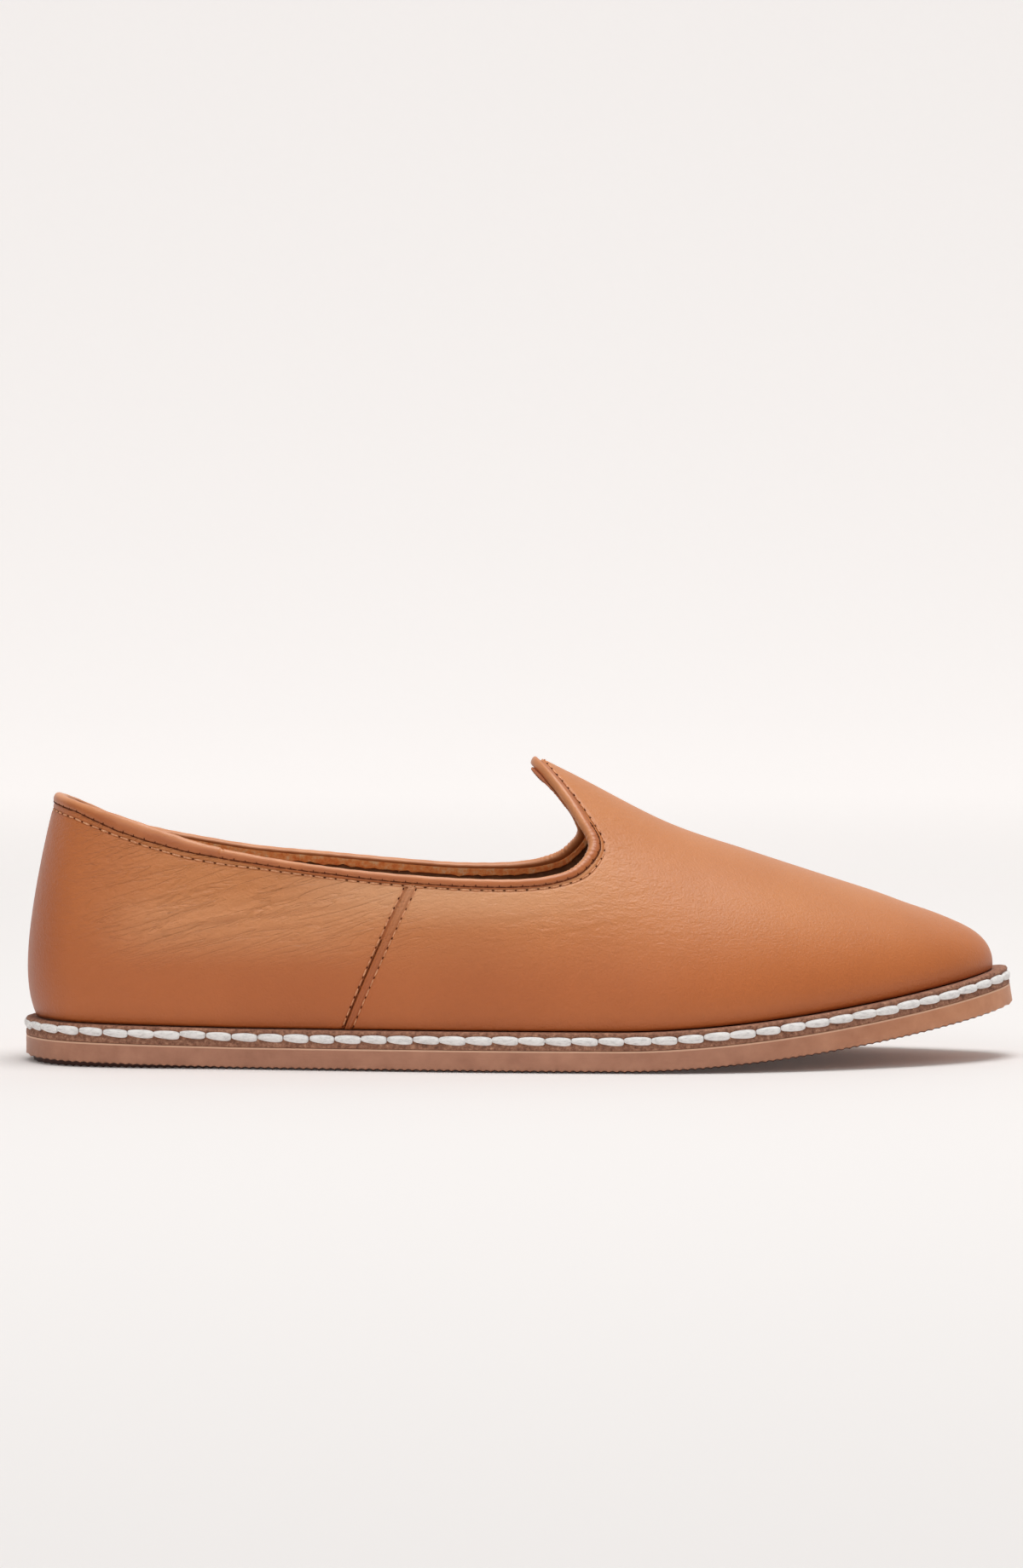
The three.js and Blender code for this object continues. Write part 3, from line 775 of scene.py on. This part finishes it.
def welt(material):
    base, top = WELT_BASE, WELT_TOP
    middle = base + CHANNEL
    wall = [
        (3, base - 0.12), (0.12, base - 0.12), (0.02, base), (-0.03, base + 0.25), (0, base + 0.6),
        (0.05, middle - 1.35), (0.35, middle - 1.1), (0.5, middle - 0.6), (0.55, middle),
        (0.5, middle + 0.6), (0.35, middle + 1.1), (0.08, middle + 1.4), (0, top - 0.75),
        (0.08, top - 0.45), (0.3, top - 0.15), (0.7, top), (1.2, top - 0.02), (1.6, top - 0.12),
        (3.2, top - 0.1), (5, top - 0.1),
    ]
    return grid_piece("welt_leather", sole_layer(sole_wall(460), wall, 16), material)


# Edge of the sock from below to its top: inset and height over the welt
SOCK = [(0.3, 0.1), (0, 0.5), (0, INSOLE - 0.6), (0.25, INSOLE - 0.15), (0.8, INSOLE)]
SOCK_GAP = 0.7


def insole(material):
    rows = even_rows(160)

    def sock_wall(side, inset, lift):
        return foot_point(side, rows, WALL + SOCK_GAP + inset, UPPER_BASE + lift)
    return grid_piece("insole_sock", sole_layer(sock_wall, SOCK, 12), material)


# Stitches

def stations_along(points, normals, pitch, at_ends=False):
    """Places with directions along and outwards, mid-stitch or where two stitches meet."""
    run = run_along(points)
    count = round(run[-1] / pitch)
    at = np.arange(count + 1) if at_ends else np.arange(count) + 0.5
    at = at * run[-1] / count
    ahead = resample(points, run, np.minimum(at + 0.3, run[-1])) - resample(points, run, at - 0.3)
    return list(zip(resample(points, run, at), ahead, resample(normals, run, at)))


def thread_ball(faces, taper, square):
    """A unit thread bead along Z: squarer towards its ends, and one end fatter by taper."""
    bm = bmesh.new()
    bmesh.ops.create_uvsphere(
        bm, u_segments=faces[0], v_segments=faces[1], radius=1, calc_uvs=True)
    for corner in bm.verts:
        radial = math.hypot(corner.co.x, corner.co.y)
        if radial > 1e-6:
            scale = radial ** (square - 1) * (1 - taper * corner.co.z)
            corner.co = (corner.co.x * scale, corner.co.y * scale, corner.co.z)
    ball = bpy.data.meshes.new("thread_ball")
    bm.to_mesh(ball)
    bm.free()
    return ball


def thread_beads(name, material, stations, sizes, faces=(8, 6), taper=0.0, square=0.7, lean=0.0):
    """Thread beads at (place, along, outwards) stations, each of (length, width, height) in mm."""
    ball = thread_ball(faces, taper, square)
    bead = np.array([corner.co for corner in ball.vertices])
    placed = []
    bm = bmesh.new()
    for (place, along, out), (length, width, height) in zip(stations, sizes):
        bm.from_mesh(ball)
        along = unit(along)
        out = unit(out - along * np.dot(out, along))
        along = unit(along + np.cross(out, along) * lean)
        aside = np.cross(out, along)
        turn = np.array([aside * width / 2, out * height / 2, along * length / 2])
        placed.append(place + SHIFT + bead @ turn)
    for corner, point in zip(bm.verts, np.concatenate(placed)):
        corner.co = point * MM
    bpy.data.meshes.remove(ball)
    return finish_mesh(bm, name, material)


def varied(count, size, spread, seed):
    """Sizes of beads, each a little different."""
    share = np.random.default_rng(seed).normal(0, spread, (count, 3))
    return np.array(size) * (1 + share)


WELT_PITCH = 7.45
STITCH_HEIGHT = WELT_BASE + 2.5
STITCH_HEEL_LIFT = 0.65
STITCH_LIFT_REACH = 90


def stitch_lift(x):
    return STITCH_HEIGHT + STITCH_HEEL_LIFT * np.maximum(0, 1 - x / STITCH_LIFT_REACH)


def welt_thread(material):
    places = np.linspace(0, 2 * TOE_ROW, 3001)
    run = run_along(inset_point(places, 0, STITCH_HEIGHT))
    count = round(run[-1] / WELT_PITCH)
    at = np.interp((np.arange(count) + 0.1) * run[-1] / count, run, places)
    rng = np.random.default_rng(3)
    lift = stitch_lift(outline_point(at)[:, 0]) + rng.normal(0, 0.08, count)
    middle = inset_point(at, 0.25, lift)
    ahead = inset_point(at + 0.02, 0, lift) - inset_point(at - 0.02, 0, lift)
    out = inset_point(at, -1, lift) - inset_point(at, 0, lift)
    sizes = varied(count, (WELT_PITCH + 0.1, 2.45, 1.5), 0.03, 5)
    return thread_beads(
        "welt_thread", material, list(zip(middle, ahead, out)), sizes,
        faces=(16, 12), taper=-0.16, square=0.5, lean=-0.05)


def wall_line(across_key, value, side, stop):
    """Points and normals up one side along a column value, to stop mm below the edge."""
    chosen = np.flatnonzero(COLUMNS["side"] == side)
    chosen = chosen[np.argsort(COLUMNS[across_key][chosen])]
    values = COLUMNS[across_key][chosen]
    high = int(np.searchsorted(values, value))
    share = (value - values[high - 1]) / (values[high] - values[high - 1])
    a, b = chosen[high - 1], chosen[high]
    points = WALL_POINTS[a] * (1 - share) + WALL_POINTS[b] * share
    normals = WALL_NORMALS[a] * (1 - share) + WALL_NORMALS[b] * share
    keep = RIM_DISTANCE[a] >= stop
    keep[0] = False
    return points[keep], normals[keep]


def sewn(rows, pitch, sink, at_ends=False):
    """Stations along several sewing lines that are sunk into the leather."""
    stations = []
    for points, normals in rows:
        stations.extend(stations_along(points - normals * sink, normals, pitch, at_ends))
    return stations


def beads(name, material, *runs, faces=(8, 6)):
    """One piece of thread beads from runs of (stations, size, spread, seed)."""
    stations = [station for run in runs for station in run[0]]
    sizes = np.concatenate([varied(len(run), size, spread, seed) for run, size, spread, seed in runs])
    return thread_beads(name, material, stations, sizes, faces)


SEAM_PITCH = 3.1
ROW_PITCH = 3.2
BINDING_PITCH = 3.3
GROOVE_PITCH = 2.4
GROOVE_TOP = 7


def sewing(thread_material, dark_thread_and_shade_material):
    """The fine seams: sides, back and two rows at the binding, with painted shade in dark beads: in the
    needle holes, in a line under the binding's border and in the grooves at the sides.
    """
    side_rows = []
    back_rows = []
    grooves = []
    for side in (OUTER, INNER):
        for across in (-SEAM_HALF, SEAM_HALF):
            side_rows.append(wall_line("seam", across, side, 1.2))
        back_rows.append(wall_line("run", 1.5, side, 3.6))
        # Lines in the side seams' grooves, where dark beads paint shade.
        grooves.append([line[:-GROOVE_TOP] for line in wall_line("seam", -1.15, side, 11)])
    light_rows = [light_row()]
    threads = beads(
        "sewing_thread", thread_material,
        (sewn(side_rows, SEAM_PITCH, 0.1), (2.3, 0.42, 0.5), 0.06, 21),
        (sewn(back_rows, SEAM_PITCH, 0.16), (2.3, 0.45, 0.4), 0.06, 25),
        (sewn(light_rows, ROW_PITCH, 0.1), (2.6, 0.5, 0.5), 0.06, 31))
    # Dark beads at the needle holes: painted shade in the holes.
    holes = beads(
        "needle_holes", dark_thread_and_shade_material,
        (sewn(side_rows, SEAM_PITCH, 0.1, at_ends=True), (0.75, 0.42, 0.36), 0.1, 22),
        (sewn(light_rows, ROW_PITCH, 0.1, at_ends=True), (0.8, 0.4, 0.4), 0.1, 32), faces=(8, 4))
    ticks = [
        (place, np.cross(out, ahead), out)
        for place, ahead, out in stations_along(*border_line(1.3, 0.1), BINDING_PITCH)
    ]
    # Dark beads: a continuous line of painted shadow under the binding's border, the dark thread ticks
    # of its first row, and lines of painted shade in the side seams' grooves.
    ticks_and_shade_lines = beads(
        "binding_ticks_and_shade_lines", dark_thread_and_shade_material,
        (stations_along(*border_line(1.08, -0.2), BINDING_PITCH), (3.5, 0.32, 0.4), 0.08, 43),
        (ticks, (0.85, 0.3, 0.36), 0.16, 41),
        (sewn(grooves, GROOVE_PITCH, 0.3), (2.6, 0.22, 0.3), 0.06, 27))
    return threads, holes, ticks_and_shade_lines


# How far above the wall's edge the facing's ragged edge lies, along the collar
FACING_FOOT = np.array([(150, -0.5), (173, -1.4)])
FACING = 0.5
FACING_INSET = 1.85


def collar_facing(material):
    """The raw suede strip folded down inside the collar, with a ragged lower edge."""
    columns = np.concatenate([RIM_COLUMNS, RIM_COLUMNS[:1]])
    rng = np.random.default_rng(11)
    edge = WALL_POINTS[columns, -1]
    run = run_along(edge)
    knots = np.arange(0, run[-1] + 1.1, 1.1)
    ragged = np.interp(run, knots, rng.normal(0, 0.24, len(knots)))
    ragged[-1] = ragged[0]
    rise = unit(edge - WALL_POINTS[columns, -2])
    normal = WALL_NORMALS[columns, -1]
    place = from_back(run, run[-1])
    top = np.interp(place, *INNER_BORDER.T) + 0.3
    foot = np.interp(place, *FACING_FOOT.T)
    rows = []
    for share in (1, 0.7, 0.45, 0.2, 0):
        above = foot + (top - foot) * share + ragged * (share == 0)
        rows.append(edge + rise * above[:, None] - normal * FACING_INSET)
    points = np.stack(rows[::-1], axis=1)
    return thicken(grid_piece("collar_facing", points, material), "suede", FACING)


# How far the lining's raw edge stands out of the throat behind the binding, near the peak
FLAP = np.array([
    (194, -0.9), (200, -0.45), (205, -0.25), (208, 0.1), (211, 0.75), (213.5, 1.1), (216, 0.9),
    (217.5, -0.1), (218.5, -0.8),
])


def lining_flap(material):
    """The loose edge of the lining that curls out of the throat under the peak."""
    place, middle, out, up, _ = binding_places()
    first, last = FLAP[0, 0], FLAP[-1, 0]
    half = len(place) // 2 + 40
    keep = np.flatnonzero((place[:half] > first) & (place[:half] < last))
    rng = np.random.default_rng(17)
    stand = np.interp(place[keep], *FLAP.T) + rng.normal(0, 0.07, len(keep))
    rows = []
    for share in (0, 0.35, 0.6, 0.8, 1):
        rise = 1.2 + (ROLL_TOP + stand - 1.2) * share
        aside = -1.1 - 0.7 * math.sin(share * math.pi * 0.8)
        rows.append(middle[keep] + out[keep] * aside + up[keep] * rise[:, None])
    piece = grid_piece("lining_flap", np.stack(rows, axis=1), material)
    return thicken(piece, "flap", FACING, 0)


# Finishes

def tone(red, green, blue):
    """A colour as the eye sees it, for a shader."""
    def linear(value):
        return value / 12.92 if value <= 0.04045 else ((value + 0.055) / 1.055) ** 2.4
    return (linear(red / 255), linear(green / 255), linear(blue / 255), 1)


class Finish:
    """A material with its Principled shader and short ways to add and join nodes."""

    def __init__(self, name, roughness):
        self.material = bpy.data.materials.new(name)
        self.material.use_nodes = True
        self.tree = self.material.node_tree
        self.shader = self.tree.nodes["Principled BSDF"]
        self.coords = self.tree.nodes.new("ShaderNodeTexCoord")
        self.surface("Roughness", roughness)

    def feed(self, socket, value):
        """Joins an output to a socket, or gives the socket a plain value."""
        if hasattr(value, "links"):
            self.tree.links.new(value, socket)
        else:
            socket.default_value = value

    def surface(self, key, value):
        self.feed(self.shader.inputs[key], value)

    def node(self, kind, inputs=None, **settings):
        node = self.tree.nodes.new(kind)
        for key, value in settings.items():
            setattr(node, key, value)
        for key, value in (inputs or {}).items():
            self.feed(node.inputs[key], value)
        return node

    def mapped(self, scale=(1, 1, 1), turn=0.0):
        """Object coordinates turned about the shoe's width in degrees, then scaled."""
        vector = self.coords.outputs["Object"]
        for key, value in (("Rotation", (0, math.radians(turn), 0)), ("Scale", scale)):
            vector = self.node("ShaderNodeMapping", {"Vector": vector, key: value}).outputs["Vector"]
        return vector

    def noise(self, vector, scale, detail=3.0, roughness=0.5, distortion=0.0):
        return self.node("ShaderNodeTexNoise", {
            "Vector": vector, "Scale": scale, "Detail": detail, "Roughness": roughness,
            "Distortion": distortion,
        }).outputs["Fac"]

    def ramp(self, value, *stops):
        node = self.node("ShaderNodeValToRGB", {"Fac": value})
        elements = node.color_ramp.elements
        while len(elements) < len(stops):
            elements.new(0.5)
        for element, (place, color) in zip(elements, stops):
            element.position = place
            element.color = color if hasattr(color, "__len__") else (color, color, color, 1)
        return node.outputs["Color"]

    def tones(self, value, *colors):
        """A ramp through colours as the eye sees them, evenly from 0.3 to 0.7."""
        places = np.linspace(0.3, 0.7, len(colors))
        return self.ramp(value, *((place, tone(*color)) for place, color in zip(places, colors)))

    def between(self, axis, low, high, kind="Object"):
        """0 to 1 as a coordinate runs from low to high, in metres on the object."""
        split = self.node("ShaderNodeSeparateXYZ", {"Vector": self.coords.outputs[kind]})
        return self.node(
            "ShaderNodeMapRange",
            {"Value": split.outputs[axis], "From Min": low, "From Max": high},
            interpolation_type="SMOOTHSTEP",
        ).outputs["Result"]

    def math(self, operation, *values):
        node = self.node("ShaderNodeMath", operation=operation)
        for socket, value in zip(node.inputs, values):
            self.feed(socket, value)
        return node.outputs[0]

    def times(self, first, *others):
        for other in others:
            first = self.math("MULTIPLY", first, other)
        return first

    def patch(self, *runs):
        """1 inside a patch: X rises, X falls, Z rises and Z falls over the given runs."""
        return self.times(*(self.between(axis, *run) for axis, run in zip("XXZZ", runs)))

    def mix(self, share, first, second):
        node = self.node("ShaderNodeMix", data_type="RGBA")
        used = {socket.name: socket for socket in node.inputs if socket.enabled}
        for key, value in (("Factor", share), ("A", first), ("B", second)):
            self.feed(used[key], value)
        return [socket for socket in node.outputs if socket.enabled][0]

    def bump(self, *layers):
        """Bump from (height, depth in mm, strength) layers, the first one under the others."""
        below = {}
        for height, depth, strength in layers:
            node = self.node("ShaderNodeBump", {
                "Height": height, "Distance": depth * MM, "Strength": strength, **below})
            below = {"Normal": node.outputs["Normal"]}
        self.surface("Normal", below["Normal"])

    def color(self, output):
        self.surface("Base Color", output)


def upper_finish():
    look = Finish("tan_leather", 0.44)
    place = look.mapped()
    broad = look.noise(place, 22, 3, 0.5)
    low = look.tones(broad, (186, 100, 46), (196, 108, 52))
    high = look.tones(broad, (198, 122, 66), (208, 132, 74))
    lit = look.times(look.between("Z", 0.022, 0.05), look.between("X", -0.145, -0.085))
    color = look.mix(lit, low, high)
    # Painted highlight: a paler tone over the quarter's upper band under the collar, where the front
    # light's sheen falls.
    painted_highlight_patch = look.patch((-0.08, -0.035), (0.045, -0.01), (0.038, 0.05), (0.066, 0.056))
    color = look.mix(painted_highlight_patch, color, tone(222, 158, 110))
    # Painted highlight: a paler tone, at less than half strength, over the upper back of the quarter.
    painted_side_highlight = look.patch((-0.125, -0.1), (-0.03, -0.06), (0.028, 0.04), (0.052, 0.043))
    color = look.mix(look.times(painted_side_highlight, 0.45), color, tone(226, 156, 104))
    # Painted shade: a darker tone along the back of the heel.
    color = look.mix(look.between("X", -0.126, -0.143), color, tone(166, 86, 40))
    # Painted shade: a darker tone on the strip between the side seam's two rows, where the groove's
    # shadow falls.
    strip = look.times(look.between("X", 0.2, 0.8, "UV"), 0.4)
    color = look.mix(strip, color, tone(160, 82, 42))
    fine = look.noise(place, 420, 2)
    color = look.mix(look.times(fine, 0.14), color, tone(160, 88, 46))
    look.color(color)
    rising = look.noise(look.mapped((60, 80, 430), 17), 1, 2, 0.5, 0.6)
    troughs = look.ramp(
        look.math("ABSOLUTE", look.math("SUBTRACT", rising, 0.5)), (0, 0), (0.05, 0.7), (0.12, 1))
    folds = look.times(
        look.math("ADD", look.times(rising, 1.6), troughs),
        look.between("X", -0.14, -0.11), look.between("X", -0.01, -0.06),
        look.between("Z", 0.024, 0.04))
    level = look.times(
        look.noise(look.mapped((260, 260, 720), -4), 1, 3, 0.6, 0.4),
        look.between("Z", 0.022, 0.042), look.between("X", 0.09, 0.0))
    grain = look.noise(place, 1400, 3, 0.6)
    look.bump((folds, 0.5, 0.62), (level, 0.5, 0.75), (grain, 0.26, 0.7))
    return look.material


def binding_finish():
    look = Finish("binding_leather", 0.4)
    place = look.mapped()
    broad = look.noise(place, 90, 3)
    flat = look.tones(broad, (172, 94, 48), (190, 110, 58))
    # Painted highlight: the crown of the roll gets a lighter copy of the binding's tone, the lower roll
    # keeps the plain one.
    crown_highlight = look.tones(broad, (198, 126, 78), (214, 144, 96))
    look.color(look.mix(look.between("X", 0, 1, "UV"), flat, crown_highlight))
    grain = look.noise(place, 1100, 3, 0.6)
    look.bump((look.noise(place, 220, 3), 0.35, 0.5), (grain, 0.16, 0.6))
    return look.material


def plain_finish(name, roughness, noise, colors, *bumps, scale=(1, 1, 1), specular=0.5):
    """A finish with the tones of one noise and bumps of (noise, depth in mm, strength)."""
    look = Finish(name, roughness)
    place = look.mapped(scale)
    look.color(look.tones(look.noise(place, *noise), *colors))
    if bumps:
        look.bump(*((look.noise(place, *layer), depth, power) for layer, depth, power in bumps))
    look.surface("Specular IOR Level", specular)
    return look.material


def facing_finish():
    patch = (420, 4, 0.7)
    return plain_finish(
        "raw_suede", 0.95, patch, [(238, 122, 62), (255, 162, 96), (255, 208, 158)],
        (patch, 0.45, 0.5), ((1500, 2), 0.2, 0.5))


def lining_finish(name, dark, light):
    patch = (300, 4, 0.65)
    return plain_finish(
        name, 0.95, patch, [dark, light], (patch, 0.4, 0.5), ((1800, 2), 0.15, 0.5))


def sock_finish():
    return plain_finish(
        "sock_leather", 0.6, (40, 4), [(186, 138, 96), (204, 158, 116)],
        ((1000, 3), 0.12, 0.4))


def welt_finish():
    look = Finish("welt_edge", 0.85)
    place = look.mapped()
    speck = look.noise(place, 900, 4, 0.7)
    look.color(look.ramp(
        speck, (0.3, tone(96, 58, 42)), (0.46, tone(142, 96, 74)), (0.6, tone(168, 120, 94)),
        (0.76, tone(214, 168, 140))))
    look.bump((look.noise(place, 500, 4, 0.7), 0.5, 0.5), (speck, 0.25, 0.5))
    return look.material


def outsole_finish():
    look = Finish("gum_rubber", 0.5)
    place = look.mapped()
    patch = look.noise(place, 120, 4, 0.6)
    plain = look.tones(patch, (166, 112, 86), (188, 133, 105))
    warm = look.tones(patch, (192, 126, 88), (211, 148, 110))
    color = look.mix(look.between("X", 0.05, 0.14), plain, warm)
    # Painted shade: a dark tone over the undercut under the tread's edge.
    color = look.mix(look.between("X", 0.2, 0.9, "UV"), color, tone(74, 42, 32))
    # Painted highlight: a light tone along the top lip.
    color = look.mix(look.between("Y", 0.2, 0.8, "UV"), color, tone(222, 176, 146))
    look.color(color)
    look.bump((look.noise(look.mapped((120, 120, 1900)), 1, 4, 0.6), 0.16, 0.5))
    return look.material


def welt_thread_finish():
    fibre = (1, 4, 0.7)
    return plain_finish(
        "white_thread", 0.8, fibre, [(208, 204, 202), (240, 237, 234), (250, 248, 246)],
        (fibre, 0.4, 0.6), scale=(500, 500, 1700))


def thread_finish():
    return plain_finish("tan_thread", 0.85, (1500, 3), [(192, 124, 82), (238, 178, 134)])


def dark_thread_and_shade_finish():
    # Dark beads for dark thread and for painted shade: needle holes, the line under the binding's border
    # and the seam grooves.
    return plain_finish(
        "dark_thread_and_painted_shade", 0.95, (1500, 3), [(72, 34, 20), (110, 58, 36)], specular=0.1)


# The shoe

def dress():
    inside = lining_finish("suede_lining", (96, 62, 40), (134, 92, 62))
    edge = lining_finish("suede_edge", (150, 84, 52), (190, 120, 82))
    pieces = [
        (upper_leather(upper_finish()), "upper_leather", "upper"),
        (lining(inside), "lining_leather", None),
        (collar_binding(binding_finish()), "binding_leather", "collar_binding"),
        (collar_facing(facing_finish()), "lining_leather", None),
        (lining_flap(edge), "lining_leather", None),
        (outsole(outsole_finish()), "gum_rubber", "outsole"),
        (welt(welt_finish()), "welt_leather", "welt"),
        (insole(sock_finish()), "insole_leather", "insole"),
        (welt_thread(welt_thread_finish()), "welt_thread", None),
    ]
    # The sewing pieces share the thread slot: thread beads, and dark beads of thread and of painted
    # shade.
    for piece in sewing(thread_finish(), dark_thread_and_shade_finish()):
        pieces.append((piece, "seam_thread", None))
    for piece, slot, node in pieces:
        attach(piece, "root")
        if node:
            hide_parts(node)


# Studio: floor that turns up into a wall, lights and camera, in metres

FLOOR_REACH = 6
WALL_START = 2
WALL_BEND = 1.5


def studio_floor():
    bm = bmesh.new()
    turn = [
        (WALL_START + WALL_BEND * math.sin(angle), WALL_BEND - WALL_BEND * math.cos(angle))
        for angle in np.linspace(0.1, math.pi / 2, 12)
    ]
    profile = [(-FLOOR_REACH, 0), (WALL_START, 0), *turn, (WALL_START + WALL_BEND, FLOOR_REACH)]
    line = [bm.verts.new((-FLOOR_REACH, y, z)) for y, z in profile]
    edges = [bm.edges.new(pair) for pair in zip(line, line[1:])]
    swept = bmesh.ops.extrude_edge_only(bm, edges=edges)
    corners = [item for item in swept["geom"] if isinstance(item, bmesh.types.BMVert)]
    bmesh.ops.translate(bm, verts=corners, vec=(2 * FLOOR_REACH, 0, 0))
    bmesh.ops.recalc_face_normals(bm, faces=bm.faces)
    look = Finish("paper_backdrop", 0.9)
    look.color(tone(228, 225, 223))
    look.surface("Emission Color", tone(247, 243, 241))
    glow = look.math("ADD", look.times(look.between("Y", -0.15, 2.3), 0.48), 0.04)
    look.surface("Emission Strength", glow)
    look.surface("Specular IOR Level", 0.1)
    floor = finish_mesh(bm, "studio_floor", look.material)


def softbox(name, place, aim, size, power):
    light = bpy.data.lights.new(name, "AREA")
    light.shape = "RECTANGLE"
    light.size, light.size_y = size
    light.energy = power
    lamp = bpy.data.objects.new(name, light)
    lamp.location = place
    lamp.rotation_euler = (Vector(aim) - Vector(place)).to_track_quat("-Z", "Y").to_euler()
    bpy.context.scene.collection.objects.link(lamp)


def studio():
    studio_floor()
    softbox("overhead", (0.15, -0.1, 1.6), (0, 0, 0), (1.1, 0.8), 19.4)
    softbox("front", (-0.7, -1.9, 1.2), (0, 0, 0.03), (1.4, 1.0), 8)
    world = bpy.data.worlds.new("studio")
    world.use_nodes = True
    sky = world.node_tree.nodes["Background"].inputs
    sky["Color"].default_value = (1, 0.99, 0.985, 1)
    sky["Strength"].default_value = 0.34
    bpy.context.scene.world = world
    bpy.context.scene.view_settings.view_transform = "Standard"


# The photograph's eye in millimetres, and its view in pixels and radians
EYE_DISTANCE = 1500
EYE_ALONG = 140
EYE_HEIGHT = 133.5
PHOTO_HEIGHT = 1840
FOCAL_PIXELS = 6108.6
CAMERA_TILT = math.atan(220 / 6094)
SENSOR = 36


def camera():
    data = bpy.data.cameras.new("camera")
    data.sensor_fit = "VERTICAL"
    data.sensor_height = SENSOR
    data.lens = FOCAL_PIXELS / PHOTO_HEIGHT * SENSOR
    data.clip_end = 50
    eye = bpy.data.objects.new("camera", data)
    eye.location = (
        (EYE_ALONG + SHIFT[0]) * MM,
        (SHIFT[1] - EYE_DISTANCE) * MM,
        EYE_HEIGHT * MM,
    )
    eye.rotation_euler = (math.pi / 2 - CAMERA_TILT, 0, 0)
    bpy.context.scene.collection.objects.link(eye)
    bpy.context.scene.camera = eye


camera()
studio()
dress()
